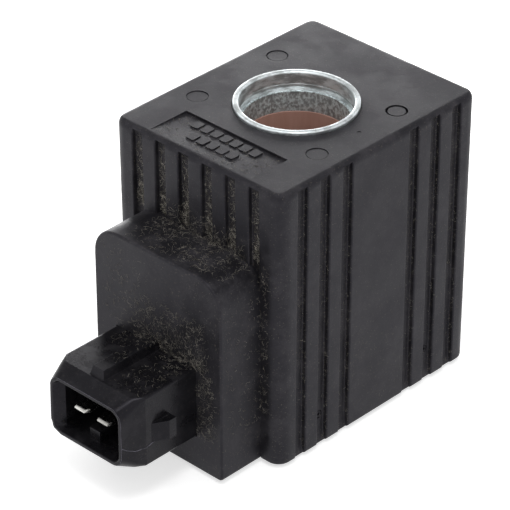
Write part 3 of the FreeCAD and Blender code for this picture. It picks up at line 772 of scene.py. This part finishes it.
def block_outline(inset, height):
    """The whole outline at a height, with its lands moved in by inset. It widens upwards."""
    swell = draft * height / cover
    wide, deep = half_width + swell, half_depth + swell
    sides = ((front_row, deep, 1, -1), (side_row, wide, 1, 1),
             (front_row, deep, -1, 1), (side_row, wide, -1, -1))
    points = []
    for quarter, (row, reach, across, along) in enumerate(sides):
        turn = 90 * quarter
        spin = mathutils.Matrix.Rotation(math.radians(turn), 2)
        for place, out in side_line(reach, row, inset, depth_at(height)):
            points.append(spin @ Vector((place, -out)))
        radius = corner_radius - corner_tightening * inset
        centre = (across * (wide - inset - radius), along * (deep - inset - radius))
        points += arc(centre, radius, turn - 90, turn, 8)
    return [(point[0], point[1], height) for point in points]


print("points in one outline:", len(block_outline(0.0, 0.0)))


# %% [markdown]
# ### The plug block
#
# The low step on the front is part of the same moulding. It has large round upper corners and
# a hardly rounded edge towards the plug. It is a loft of its own along Y and is then joined to
# the block, because its front edge couldn't be rounded in an outline that runs along Z.

# %% Block and plug block
pad_edge, pad_foot = 0.4, 0.8


def rounding(radius, steps):
    """Inset and distance to go along a quarter round, from its start to its end."""
    for step in range(steps + 1):
        angle = math.pi / 2 * step / steps
        yield radius * (1 - math.cos(angle)), radius * (1 - math.sin(angle))


def pad_outline(inset, along):
    """Outline of the plug block, with round upper corners and a hardly rounded foot."""
    left, right, top = pad_left + inset, pad_right - inset, pad_top - inset
    radius = pad_corner - inset
    foot, bottom = pad_foot - inset, inset - cover
    points = arc((left + foot, bottom + foot), foot, 180, 270, 4)
    points += arc((right - foot, bottom + foot), foot, 270, 360, 4)
    points += arc((right - radius, top - radius), radius, 0, 90, 12)
    points += arc((left + radius, top - radius), radius, 90, 180, 12)
    return [(x, along, z) for x, z in points]


foot_round = reversed(list(rounding(foot_radius, 3)))
outlines = [block_outline(inset, to_go - cover) for inset, to_go in foot_round]
outlines += [block_outline(0.0, up - cover) for up in (0.9, 1.4, foot_blend)]
outlines += [block_outline(0.0, cover * share) for share in (-0.5, 0.0, 0.5)]
outlines += [block_outline(0.0, cover - to_go) for to_go in (runout_start, 1.5, 1.35)]
outlines += [block_outline(inset, cover - to_go) for inset, to_go in rounding(rim_radius, 8)]
block = loft("black_block", outlines)
pad_back = flute_depth + past - half_depth
pad_outlines = [pad_outline(0.0, pad_back)]
pad_outlines += [pad_outline(inset, pad_face + to_go) for inset, to_go in rounding(pad_edge, 3)]
combine(block, [loft("plug_block", pad_outlines)], "UNION")
print("block and plug block:", len(block.data.polygons), "faces")


# %% [markdown]
# ### Rooms inside the block
#
# The plastic fills all the space between the parts that it encloses, and no more. So that no
# two pieces share the same space, each of those parts has its room cut out of the block: the
# coil, the plates, the rings, the yokes, the root of the shroud and the two leads. Only the
# mouth of the bore and the seat of the shroud show from outside, with a hair's breadth of gap.


# %% Rooms for everything that the plastic encloses
def disc(name, radius, low, high, centre=(0.0, 0.0), steps=96):
    """An upright round bar."""
    ring = arc(centre, radius, 0, 360 * (steps - 1) / steps, steps - 1)
    return loft(name, [[(x, y, low) for x, y in ring], [(x, y, high) for x, y in ring]])


def plate_outline(height, corner=3.0):
    """Outline of a steel plate with its cut corners."""
    wide, deep = plate_high.x, plate_high.y
    quarter = [(wide, corner - deep), (wide, deep - corner), (wide - corner, deep), (corner - wide, deep)]
    return [(x, y, height) for x, y in quarter + [(-x, -y) for x, y in quarter]]


ring_gap, seam_gap = 0.12, 0.03
rooms = [disc("coil_room", tape_radius, -plate_under, plate_under)]
for side in (-1, 1):
    levels = sorted((plate_under * side, plate_top * side))
    rooms.append(loft("plate_room", [plate_outline(level) for level in levels]))
    levels = sorted((plate_top * side, (ring_top + past) * side))
    rooms.append(disc("ring_room", ring_outer + ring_gap, *levels))
    levels = sorted((yoke_low.y * side, yoke_high.y * side))
    rooms.append(box_piece("yoke_room", (-yoke_high.x, levels[0], -plate_under),
                           (yoke_high.x, levels[1], plate_under)))
combine(block, rooms, "DIFFERENCE")
print("after the rooms:", len(block.data.polygons), "faces")

# %% Seat of the shroud and room for the two leads
rib_half, rib_height, rib_x = 1.6, 1.5, plug_x - 0.5
flange_reach, flange_start, flange_end = 1.4, pad_face + 1.6, pad_face + 3.2
lead_room_half = 1.25
wide, tall = shroud_half[0] + seam_gap, shroud_half[1] + seam_gap
seat = [
    box_piece("shroud_seat", (plug_x - wide, pad_face - past, plug_z - tall),
              (plug_x + wide, root_end, plug_z + tall)),
    box_piece("rib_seat", (rib_x - rib_half - seam_gap, pad_face - past, plug_z),
              (rib_x + rib_half + seam_gap, root_end, plug_z + tall + rib_height)),
    box_piece("flange_seat", (plug_x - wide - flange_reach, flange_start, plug_z - tall - flange_reach),
              (plug_x + wide + flange_reach, flange_end, plug_z + tall + flange_reach)),
]
for low, high in blades.values():
    middle = (low.x + high.x) / 2
    room_low = (middle - lead_room_half, root_end - 0.5, blade_z - lead_room_half)
    room_high = (middle + lead_room_half, 0.5 - yoke_high.y, blade_z + lead_room_half)
    seat.append(box_piece("lead_room", room_low, room_high))
combine(block, seat, "DIFFERENCE")
print("after the seat:", len(block.data.polygons), "faces")

# %% [markdown]
# ### Marks of the tool
#
# The top face has a field for a marking, sunk like a shallow wedge that is deepest at its back,
# and four round marks where pins pushed the moulding out. Each pin leaves a shallow sink with a
# fine groove round it. Two flutes of the right side have a smaller mark on their floors, and
# there is a small pit between the ring and the right edge. All of them are cut into the mesh.
# Their rims catch the low light, and the shape is then there for any light and any use.

# %% Marking field, pin marks, marks on the flute floors and a small pit
field_half, field_length, field_depth, field_slope = 10.7, 9.0, 0.42, 0.06
pin_radius, pin_depth, pin_x, pin_y, pin_slope = 1.75, 0.08, 12.7, 9.0, 0.03
above = cover + 0.1


def field_outline(front_level, back_level, outset):
    """Outline of the marking field, which is deepest at its back and ends at the rim."""
    front, back = rim_radius - half_depth, field_length - half_depth + outset
    reach = field_half + outset
    corners = ((-reach, front), (reach, front), (reach, back), (-reach, back))
    levels = (front_level, front_level, back_level, back_level)
    return [(x, y, level) for (x, y), level in zip(corners, levels)]


def pin_mark(x, y, witness):
    """A shallow round sink, with the witness line of the pin as a groove round its edge."""
    low, floor = cover - witness, cover - pin_depth
    inner = pin_radius - 0.1 - 0.3 * witness
    profile = [(0.01, floor), (inner, floor), (inner, low), (pin_radius, low),
               (pin_radius + pin_slope, above), (0.01, above)]
    mark = turned("pin_mark", profile, 56)
    mark.data.transform(mathutils.Matrix.Translation(Vector((x, y, 0.0)) * MM))
    return [mark, disc("pin_core", 0.05, floor, above, (x, y), 12)]


def floor_mark(y, z):
    """A small pit with a ring round it on the floor of a flute on the right side."""
    pit = disc("floor_pit", 0.3, -0.3, 0.3, steps=16)
    ring = turned("floor_ring", [(0.52, -0.22), (0.74, -0.22), (0.78, 0.3), (0.48, 0.3)], 32)
    floor = half_width + draft * z / cover - depth_at(z)
    for mark in (pit, ring):
        mark.data.transform(mathutils.Matrix.Rotation(math.pi / 2, 4, "Y"))
        mark.data.transform(mathutils.Matrix.Translation(Vector((floor, y, z)) * MM))
    return [pit, ring]


field_floor = field_outline(cover - 0.03, cover - field_depth, 0.0)
marks = [loft("field", [field_floor, field_outline(above, above, field_slope)])]
for x, y, witness in ((1, 1, 0.75), (-1, 1, 0.25), (-1, -1, 0.16), (1, -1, 0.16)):
    marks += pin_mark(x * pin_x, y * pin_y, witness)
marks.append(disc("pit", 0.36, cover - 0.07, above, (13.0, 0.1), 20))
for y, z in ((side_row[1], -19.6), (side_row[4], -19.4)):
    marks += floor_mark(y, z)
combine(block, marks, "DIFFERENCE")
print("marks cut:", len(marks))

# %% [markdown]
# ### Plain pads
#
# The marking field stays without a marking. Twelve plain pads with rounded corners stand in it
# in two rows, which break up the light on it. They stand on the slope of the field, so the
# floor under each row follows from how far back the row is.

# %% Plain raised pads in the marking field
mark_pitch, mark_half, mark_height, mark_corner, mark_root = 2.05, (0.78, 0.95), 0.22, 0.3, 0.1
pads = []
for row_y, first_x, count in ((-15.1, -6.6, 7), (-18.2, -4.4, 5)):
    floor = cover - field_depth * (half_depth - rim_radius + row_y) / (field_length - rim_radius)
    for index in range(count):
        middle = first_x + index * mark_pitch
        outline = []
        for across, up, turn in ((1, 1, 0), (-1, 1, 90), (-1, -1, 180), (1, -1, 270)):
            centre_x = middle + across * (mark_half[0] - mark_corner)
            centre_y = row_y + up * (mark_half[1] - mark_corner)
            outline += arc((centre_x, centre_y), mark_corner, turn, turn + 90, 4)
        levels = (floor - mark_root, floor + mark_height)
        pads.append(loft("marking_pad", [[(x, y, level) for x, y in outline] for level in levels]))
combine(block, pads, "UNION")
print("plain pads in the field:", len(pads))
smooth(block)
dress(block, BLOCK_BLACK, "black_moulding", "encapsulation")

# %% [markdown]
# ## The plug shroud
#
# The shroud is moulded first, round the two blades, and then sits in the tool while the block
# is moulded against it. Its outside and its socket are one continuous tube, so a single loft
# makes both: rounded rectangles run from the buried root to the mouth, turn over the rim and
# go back to the floor of the socket. The rim is slightly uneven, as a trimmed edge is, which a
# little noise along Y does. The rib, the latch lugs, the coding key and the buried flange are
# added to the tube. The rib narrows upwards, so that it leaves the tool.


# %% Tube of the shroud
corner_steps, rim_edge = 8, 0.1


def shroud_outline(half, radius, along):
    """A rounded rectangle round the axis of the plug."""
    points = []
    for turn, (across, up) in enumerate(((1, 1), (-1, 1), (-1, -1), (1, -1))):
        centre = (plug_x + across * (half[0] - radius), plug_z + up * (half[1] - radius))
        points += arc(centre, radius, 90 * turn, 90 * turn + 90, corner_steps)
    return [(x, along, z) for x, z in points]


def ragged(outline, amount=0.09):
    """The outline with its points moved a little along the plug, as a trimmed rim is."""
    return [(x, y + amount * mathutils.noise.noise(Vector((x, 3.0, z)) * 1.3), z) for x, y, z in outline]


inner_mouth = (mouth_half[0] - rim_wall, mouth_half[1] - rim_wall)
tube = [
    shroud_outline(shroud_half, 0.5, root_end),
    shroud_outline(shroud_half, 0.5, nose_end),
    shroud_outline(nose_half, 1.4, bevel_end),
    shroud_outline((mouth_half[0] + 0.02, mouth_half[1] + 0.05), 2.2, mouth + rim_edge),
    ragged(shroud_outline((mouth_half[0] - rim_edge, mouth_half[1] - rim_edge), 2.1, mouth)),
    ragged(shroud_outline((inner_mouth[0] + rim_edge, inner_mouth[1] + rim_edge), 1.7, mouth)),
    shroud_outline((inner_mouth[0] - 0.07, inner_mouth[1]), 1.6, mouth + rim_edge),
    shroud_outline(socket_half, 0.5, mouth + 1.6),
    shroud_outline(socket_half, 0.5, mouth + socket_depth),
]
shroud = loft("plug_shroud", tube)
print("tube of the shroud:", len(shroud.data.polygons), "faces")

# %% Rib, lugs, coding key and the buried flange
rib_setback, rib_draft, rib_lean = 3.0, 0.45, 0.5
key_half, key_height, key_setback = 1.1, 2.0, 1.9
lug_middle, lug_half, lug_reach = plug_z - 0.7, 1.7, 1.4
lug_start, lug_peak, lug_end = mouth + 5.5, mouth + 8.0, mouth + 9.5
shroud_top, socket_low = plug_z + shroud_half[1], plug_z - socket_half[1]
flange_half = (shroud_half[0] + flange_reach, shroud_half[1] + flange_reach)


def rib_outline(half, retreat, height):
    """Outline of the rib at one height, with its front end moved back by retreat."""
    front = mouth + rib_setback + retreat
    corners = ((-1, front), (1, front), (1, root_end), (-1, root_end))
    return [(rib_x + across * half, along, height) for across, along in corners]


extras = [
    loft("rib", [rib_outline(rib_half, 0.0, shroud_top - 0.5),
                 rib_outline(rib_half - rib_draft, rib_lean, shroud_top + rib_height)]),
    box_piece("key", (plug_x - key_half, mouth + key_setback, socket_low - 0.5),
              (plug_x + key_half, mouth + socket_depth + 0.5, socket_low + key_height)),
    loft("flange", [shroud_outline(flange_half, 0.5, along) for along in (flange_start, flange_end)]),
]
for side in (-1, 1):
    wall = plug_x + shroud_half[0] * side
    peak = wall + lug_reach * side
    outline = [(wall - side, lug_start), (wall, lug_start), (peak, lug_peak), (peak, lug_end),
               (wall - side, lug_end)]
    levels = (lug_middle - lug_half, lug_middle + lug_half)
    extras.append(loft("lug", [[(x, y, level) for x, y in outline] for level in levels]))
combine(shroud, extras, "UNION")
soften(shroud, 0.14, 28, 3)
smooth(shroud, 13)
dress(shroud, SHROUD_BLACK, "black_shroud", "connector_shroud")

# %% [markdown]
# ### Flash
#
# Where the two halves of the tool met, a thin skin of plastic was pressed out, and a thread
# of it is left along both sides of the shroud and round its rim. Its grey is painted light, for
# the light through so thin a skin and the bright line that the rim catches. It follows the
# surface, so its path is worked out from the same widths as the shroud: it climbs the bevel of
# the nose, then the slope, and wavers a little.

# %% Flash: the thin thread, painted grey, where the two halves of the tool met
flash_line = [(0.1, -1.3), (1.0, -2.05), (2.6, -2.8), (4.1, -2.85), (6.2, -2.45), (10.5, -2.7)]
side_thread, rim_thread, waver_height = 0.085, 0.035, 0.16
bevel_length, slope_length = bevel_end - mouth, nose_end - bevel_end
flash = []
for side in (-1, 1):
    path = []
    for (start, low), (end, high) in zip(flash_line, flash_line[1:]):
        for step in range(8):
            back = start + (end - start) * step / 8
            on_bevel = min(1.0, back / bevel_length)
            on_slope = min(1.0, max(0.0, (back - bevel_length) / slope_length))
            reach = mouth_half[0] + (nose_half[0] - mouth_half[0]) * on_bevel
            reach += (shroud_half[0] - nose_half[0]) * on_slope
            waver = mathutils.noise.noise(Vector((side, back * 2.4, 5.0)))
            level = low + (high - low) * step / 8 + waver_height * waver
            path.append(Vector((plug_x + side * (reach + 0.03), mouth + back, plug_z + level)))
    flash.append((path, Vector((side, 0, 0)), side_thread))
rim = shroud_outline((mouth_half[0] - 0.04, mouth_half[1] - 0.04), 2.15, mouth + 0.02)
trimmed = ragged(rim, 0.16)
rim_path = [Vector(point) for point in trimmed + trimmed[:1]]
flash.append((rim_path, Vector((0, -1, 0)), rim_thread))
dress(threads("shroud_flash", flash), FLASH_PAINTED_GREY, "black_shroud")

# %% [markdown]
# ## The two blades
#
# The blades are punched from tinned strip. Two things give them away as punched: the long edges
# are slightly rounded, and the tip is narrowed and bevelled so that it finds its way into the
# plug. The outline is repeated at six heights, and the outer ones are drawn in, most of all at
# the tip. The barb behind the socket holds the blade in the plastic.


# %% Blades
tip_half, blade_half, barb_half, tail_half = 1.05, 1.4, 2.0, 0.8
tip_length, socket_floor = 1.0, mouth + socket_depth
barb_start, barb_end = socket_floor + 1.2, socket_floor + 3.2


def blade_outline(low, high, height, inset, retreat):
    """Outline of a blade with its narrow tip, its barb and its tail."""
    middle = (low.x + high.x) / 2
    steps = [(tip_half, low.y + retreat), (blade_half, low.y + tip_length), (blade_half, barb_start),
             (barb_half, barb_start), (barb_half, barb_end), (tail_half, barb_end),
             (tail_half, high.y - inset)]
    right = [(middle + across - inset, along, height) for across, along in steps]
    return right + [(2 * middle - x, y, z) for x, y, z in reversed(right)]


for name, (low, high) in blades.items():
    layers = [(low.z, 0.05, 0.5), (low.z + 0.06, 0.0, 0.35), (low.z + 0.27, 0.0, 0.0)]
    layers += [(low.z + high.z - height, inset, retreat) for height, inset, retreat in reversed(layers)]
    blade = loft(name.replace("terminal", "blade"), [blade_outline(low, high, *layer) for layer in layers])
    soften(blade, 0.05, 28, 2)
    smooth(blade, 40)
    dress(blade, BLADE_TIN, "tinned_blade", name)

# %% [markdown]
# ## Rings in the mouth of the bore
#
# Each ring is turned from steel and zinc plated. What the eye reads as one bright band is
# really four things, one under the other: the wall, a thin bead, a groove that stays dark,
# and a slope down to the plate. A turned profile shows each of them as one line of numbers.


# %% Rings
def ring_profile(side):
    """Profile of a ring as (radius, height). side is 1 for the upper ring."""
    inner, outer, foot = ring_inner, ring_outer, plate_top
    profile = [(outer, foot)]
    profile += [(outer - inset, ring_top - to_go) for inset, to_go in rounding(0.3, 5)]
    profile += [(inner + inset, ring_top - to_go) for inset, to_go in reversed(list(rounding(0.34, 5)))]
    profile += [(inner, foot + 1.2), (inner - 0.05, foot + 1.12), (inner - 0.07, foot + 1.03),
                (inner - 0.05, foot + 0.95), (inner + 0.1, foot + 0.9), (inner + 0.13, foot + 0.5),
                (inner + 0.02, foot + 0.45), (inner - 0.12, foot + 0.0)]
    return [(radius, height * side) for radius, height in profile]


for name, side in (("upper_ring", 1), ("lower_ring", -1)):
    ring = turned(name.replace("_ring", "_zinc_ring"), ring_profile(side), 160)
    smooth(ring, 35)
    dress(ring, RING_ZINC, "zinc_plate", name)

# %% [markdown]
# ## Steel plates with a punched bore
#
# Under the ring the bore passes through a thick steel plate. A punch cuts only the first part
# of such a hole cleanly. The rest tears, so its wall is rough. The cutter for the hole is
# therefore a bar with a rough wall, made by moving the points of a turned mesh by two layers of
# noise. The same noise as a bump would leave the edge of the hole a perfect circle.


# %% Plates
clean_share, torn_share, coarse_height, fine_height = 0.12, 0.5, 0.05, 0.045


def rough_wall(radius, height, angle):
    """The torn wall of a punched hole: clean beside the ring, rougher towards the far edge."""
    depth = (plate_top - abs(height)) / (plate_top - plate_under)
    if depth < 0.0 or depth > 1.0:
        return radius, height
    spot = Vector((math.cos(angle) * 9.0, math.sin(angle) * 9.0, height))
    coarse = mathutils.noise.noise(spot * 0.9)
    fine = mathutils.noise.noise(spot * Vector((2.6, 2.6, 1.4)))
    rough = min(1.0, max(0.0, (depth - clean_share) / torn_share))
    return radius + 0.05 + rough * (coarse_height * coarse + fine_height * fine), height


def make_plate(name, side):
    """Steel plate with cut corners and a punched bore."""
    levels = sorted((plate_under * side, plate_top * side))
    plate = loft(name.replace("flux_plate", "steel_plate"), [plate_outline(level) for level in levels])
    heights = [plate_under - 0.6] + [plate_under + 0.25 * step for step in range(15)] + [plate_top + 0.6]
    wall = [(bore_radius, height * side) for height in heights]
    punch = turned("punch", [(0.02, wall[-1][1]), (0.02, wall[0][1])] + wall, 144, rough_wall)
    core = disc("core", 1.0, levels[0] - past, levels[1] + past)
    combine(plate, [punch, core], "DIFFERENCE")
    smooth(plate, 40)
    dress(plate, PLATE_STEEL, "bare_steel", name)


make_plate("upper_flux_plate", 1)
make_plate("lower_flux_plate", -1)

# %% [markdown]
# ## Bobbin and winding
#
# The brown wall that shows deep in the bore is the barrel of the bobbin. Its two flanges and
# the copper on it stay hidden, but they are made too, so that a cut-away view is true. Both are
# turned. Single turns of wire would show only as ridges on the outside of the winding, and a
# profile with a small dip after each turn gives those without thousands of wires.

# %% Bobbin
barrel, flange = bore_radius + 1.0, 1.2
profile = [(bore_radius, plate_under - 0.1), (bore_radius + 0.1, plate_under), (tape_radius, plate_under),
           (tape_radius, plate_under - flange), (barrel, plate_under - flange)]
profile += [(radius, -height) for radius, height in reversed(profile)]
bobbin = turned("brown_bobbin", profile, 128)
smooth(bobbin, 40)
dress(bobbin, BOBBIN_PAINTED_LIGHTER, "brown_bobbin", "bobbin")

# %% Winding, with its outer turns as ridges
turn_pitch = 0.86
copper_outer, copper_top = coil_high.x, coil_high.z
turns = round(2 * copper_top / turn_pitch)
profile = [(barrel, -copper_top), (barrel, copper_top)]
for index in range(turns):
    top = copper_top - index * 2 * copper_top / turns
    for share, sunk in ((0.0, 0.22), (0.2, 0.06), (0.5, 0.0), (0.8, 0.06)):
        profile.append((copper_outer - sunk, top - share * 2 * copper_top / turns))
winding = turned("copper_winding", profile, 72)
smooth(winding, 50)
dress(winding, COPPER, "copper_wire", "winding")

# %% [markdown]
# ## Solids that already have the right shape
#
# The tape, the two yokes, the leads, their sleeves and the solder are plain forms, and the
# plastic hides them. Their solids stay as they are and only get their finish.

# %% Solids that already have the right shape
kept = {
    "winding_tape": TAPE_AMBER,
    "front_yoke": FRAME_STEEL,
    "back_yoke": FRAME_STEEL,
    "start_lead": COPPER,
    "finish_lead": COPPER,
    "start_sleeve": SLEEVE_BRAID,
    "finish_sleeve": SLEEVE_BRAID,
    "start_solder": SOLDER_TIN,
    "finish_solder": SOLDER_TIN,
}
for name, material in kept.items():
    solid = bpy.data.objects[name]
    solid.data.materials.clear()
    solid.data.materials.append(material)
print("solids kept as they are:", len(kept))

# %% [markdown]
# ## Lint
#
# The flutes, the marking field, the top of the plug block and the root of the shroud hold short
# pale fibres, the way any used plastic part does where a cloth can't reach. They could be
# painted by a texture, but fibres stand off the surface and catch light from every side, so
# each one is a thin three-sided tube. It starts on the surface, wanders over it, arches off it
# and comes back down. A patch is a rectangle on the part, given by a corner and two sides, then
# the number of fibres, the pull and the greatest length. With a pull above one the fibres
# gather towards the first edge of the patch.


# %% One fibre, and patches of them
def fibre_path(start, across, up, normal, length, lift):
    """Points of one fibre that wanders over a surface and arches off it."""
    heading, bend, steps = random.uniform(0, 2 * math.pi), random.uniform(-1.3, 1.3), 5
    place, path = start.copy(), []
    for step in range(steps + 1):
        path.append(place + normal * (lift * math.sin(math.pi * step / steps)))
        heading += bend * random.uniform(0.1, 1.0)
        place += (across * math.cos(heading) + up * math.sin(heading)) * length / steps
    return path


def lint_patch(corner, across, up, count, pull=1.0, longest=1.5):
    """Fibres on a rectangle. The outside is where the cross product of across and up points."""
    corner, across, up = Vector(corner), Vector(across), Vector(up)
    sideways, upwards = across.normalized(), up.normalized()
    normal = sideways.cross(upwards)
    for _ in range(count):
        start = corner + across * random.random() + up * random.random() ** pull
        length, lift = random.uniform(0.3, longest), random.uniform(0.03, 0.3)
        path = fibre_path(start, sideways, upwards, normal, length, lift)
        yield path, normal, random.uniform(0.009, 0.019)


def lint(name, material, patches):
    """One piece of lint. Each patch is a row of what lint_patch takes."""
    fibres = [fibre for patch in patches for fibre in lint_patch(*patch)]
    print(name, "has", len(fibres), "fibres")
    dress(threads(name, fibres), material, "sleeve_glass")


print("fibres ready")

# %% Lint in the flutes of the front and of the right side
lint_width, above_skin = 1.6, 0.05
front_floor, side_floor = flute_depth - half_depth - above_skin, half_width - flute_depth + above_skin
front_rise, side_rise = cover - rim_radius - pad_top, 2 * cover - 3.0
patches = []
for index, middle in enumerate(front_row):
    corner = (middle - lint_width / 2, front_floor, pad_top)
    patches.append((corner, (lint_width, 0, 0), (0, 0, front_rise), 190 - 14 * index))
    patches.append((corner, (lint_width, 0, 0), (0, 0, 3.5), 50))
# This lint is painted brighter, for the light that falls straight into the front flutes.
lint("lint_front_flutes", LINT_PAINTED_LIT, patches)
patches = []
for middle in side_row:
    corner = (side_floor, middle - lint_width / 2, 1.0 - cover)
    patches.append((corner, (0, lint_width, 0), (0, 0, side_rise), 30, 1.0, 0.8))
    corner = (side_floor, middle + flute_width / 2 - 0.03, 1.0 - cover)
    patches.append((corner, (0.7, 0, 0), (0, 0, side_rise), 70, 1.0, 0.5))
lint("lint_side_flutes", LINT_PALE, patches)

# %% Lint on the plug block
skin = -half_depth - 0.1
lint("lint_plug_block", LINT_PALE, [
    ((8.8, -half_depth, pad_top), (-16.5, 0, 0), (0, -7.4, 0), 430, 1.7, 1.2),
    ((11.6, -half_depth, pad_top - 0.9), (-2.8, 0, 0.9), (0, -6.0, 0), 100, 1.6, 1.2),
    ((-6.0, skin, pad_top), (16.5, 0, 0), (0, 0, 4.0), 220, 2.0),
    ((pad_right + 0.1, skin, pad_top - 26.0), (1.8, 0, 0), (0, 0, 26.0), 110, 1.0, 0.9),
    ((pad_right, -half_depth, pad_top - 28.0), (0, 0, 23.0), (0, -7.0, 0), 110, 1.8, 0.8),
])

# %% Lint in the marking field
lint_across, lint_along = 2 * field_half - 0.6, field_length - rim_radius - 0.6
lint("lint_marking_field", LINT_PALE, [
    ((0.3 - field_half, rim_radius - half_depth, cover), (lint_across, 0, 0),
     (0, lint_along, -field_depth * 0.95), 260, 1.0, 0.8),
])

# %% Lint round the root of the shroud
root_top, wall = plug_z + shroud_half[1], plug_x + shroud_half[0]
rib_right, rib_left, rib_top = rib_x + rib_half, rib_x - rib_half, root_top + rib_height
lint("lint_shroud_root", LINT_PALE, [
    ((-5.0, pad_face, root_top), (15.5, 0, 0), (0, 0, 8.5), 620, 1.8, 1.2),
    ((-11.5, pad_face, root_top), (8.0, 0, 0), (0, 0, 14.0), 120, 1.0, 1.0),
    ((wall + 0.3, pad_face, plug_z - 6.0), (3.6, 0, 0), (0, 0, 12.0), 190, 1.0, 1.2),
    ((wall - 0.4, pad_face, root_top), (-6.4, 0, 0), (0, -11.0, 0), 150, 1.6, 0.9),
    ((rib_right, pad_face, rib_top), (-3.0, 0, 0), (0, -9.0, 0), 60, 2.0, 0.9),
    ((rib_left, pad_face, root_top), (-5.0, 0, 0), (0, -4.0, 0), 40, 1.5, 0.9),
])

# %% [markdown]
# ## Floor, light and camera
#
# The part stands on white card in a white room. Black plastic shows its shape almost only by
# what it mirrors, so the lamps matter less for their light than for where their mirror images
# fall. The card and the background are white to the camera and in mirrors by their own
# strength, so no lamp has to make them white, and the card still takes the shadow. In mirrors
# the room is a little dimmer overhead, which keeps the tops of the two mouldings black.


# %% White card and surroundings
def white_to_camera(tree, level, other):
    """A strength that is level for the camera, in mirrors and through glass, else other."""
    path = tree.nodes.new("ShaderNodeLightPath").outputs
    seen = maths(tree, "MAXIMUM", path["Is Camera Ray"], path["Is Glossy Ray"])
    seen = maths(tree, "MAXIMUM", seen, path["Is Transmission Ray"])
    return ranged(tree, seen, 0.0, 1.0, other, level)


card_half = 1500
corners = [(x * card_half, y * card_half, -ring_top) for x, y in ((-1, -1), (1, -1), (1, 1), (-1, 1))]
card = mesh_piece("white_card", corners, [(0, 1, 2, 3)])
card_paper, tree, shader = finish_of("White card", Roughness=0.9, Specular_IOR_Level=0.1)
paper = mixed(tree, noise(tree, own_place(tree), 2.0), (0.78, 0.78, 0.78, 1), (0.82, 0.82, 0.82, 1))
tree.links.new(paper, shader.inputs["Base Color"])
shader.inputs["Emission Color"].default_value = (1, 1, 1, 1)
tree.links.new(white_to_camera(tree, 0.62, 0.0), shader.inputs["Emission Strength"])
card.data.materials.append(card_paper)
card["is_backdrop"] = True

world = bpy.data.worlds.new("White studio")
scene.world = world
world.use_nodes = True
tree = world.node_tree
sky = tree.nodes["Background"]
sky.inputs["Color"].default_value = (1, 1, 1, 1)
direction = tree.nodes.new("ShaderNodeTexCoord").outputs["Generated"]
height = node(tree, "ShaderNodeSeparateXYZ", {0: direction}).outputs["Z"]
mirrored = ranged(tree, height, 0.12, 0.6, 1.0, 0.7)
tree.links.new(white_to_camera(tree, mirrored, 0.45), sky.inputs["Strength"])
print("card at", -ring_top, "mm")


# %% [markdown]
# ### Lamps
#
# A broad lamp stands low and close behind the part, where the top face mirrors it to the camera
# and grows lighter towards the back. Two weak ones from the left and the right lift the side
# faces, and a small one above lights the lint and the inside of the bore.


# %% Lamps
def soft_lamp(name, azimuth, elevation, distance, size, power):
    """A square soft lamp that looks at the part. Azimuth 0 is the front, 90 the right side."""
    data = bpy.data.lights.new(name, "AREA")
    data.shape = "SQUARE"
    data.size = size
    data.energy = power
    lamp = bpy.data.objects.new(name, data)
    scene.collection.objects.link(lamp)
    turn, rise = math.radians(azimuth), math.radians(elevation)
    direction = Vector((math.sin(turn) * math.cos(rise), -math.cos(turn) * math.cos(rise), math.sin(rise)))
    lamp.location = direction * distance
    lamp.rotation_euler = direction.to_track_quat("Z", "Y").to_euler()
    return lamp


lamps = [
    soft_lamp("Broad lamp behind", azimuth=-132, elevation=7, distance=0.16, size=0.12, power=0.27),
    soft_lamp("Weak lamp right", azimuth=80, elevation=35, distance=0.9, size=0.5, power=0.5),
    soft_lamp("Weak lamp left", azimuth=-50, elevation=30, distance=0.9, size=0.5, power=0.5),
    soft_lamp("Small lamp above", azimuth=44, elevation=70, distance=0.8, size=0.25, power=1.6),
]
print("lamps:", len(lamps))

# %% [markdown]
# ### Camera
#
# The camera looks down on the plug corner from well away through a long lens, so the upright
# edges stay nearly parallel. Its three axes are worked out from how far it is turned round the
# part, how high it stands and how much it leans, and they fill the columns of its matrix.

# %% Camera
camera_turn, camera_rise, camera_roll, focal_length = 44.01, 32.43, -0.14, 229.4
camera_place = Vector((298.85, -318.72, 274.49))
turn, rise, roll = (math.radians(angle) for angle in (camera_turn, camera_rise, camera_roll))
back = Vector((math.sin(turn) * math.cos(rise), -math.cos(turn) * math.cos(rise), math.sin(rise)))
level_right = Vector((math.cos(turn), math.sin(turn), 0.0))
level_up = back.cross(level_right)
right = math.cos(roll) * level_right + math.sin(roll) * level_up
up = math.cos(roll) * level_up - math.sin(roll) * level_right
lens = bpy.data.cameras.new("Camera")
lens.sensor_width = 36.0
lens.lens = focal_length
camera = bpy.data.objects.new("Camera", lens)
scene.collection.objects.link(camera)
matrix = mathutils.Matrix((right, up, back)).transposed().to_4x4()
matrix.translation = camera_place * MM
camera.matrix_world = matrix
lens.clip_start, lens.clip_end = 0.01, 10.0
scene.camera = camera
scene.view_settings.view_transform = "Standard"
print("camera at", [round(value, 3) for value in camera.location])

# %% [markdown]
# ## The boxes of the part
#
# The last line gives the box of the dressed part beside the box of the solids.

low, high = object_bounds()
{"cad": [list(cad_low), list(cad_high)], "visual": [list(low), list(high)]}
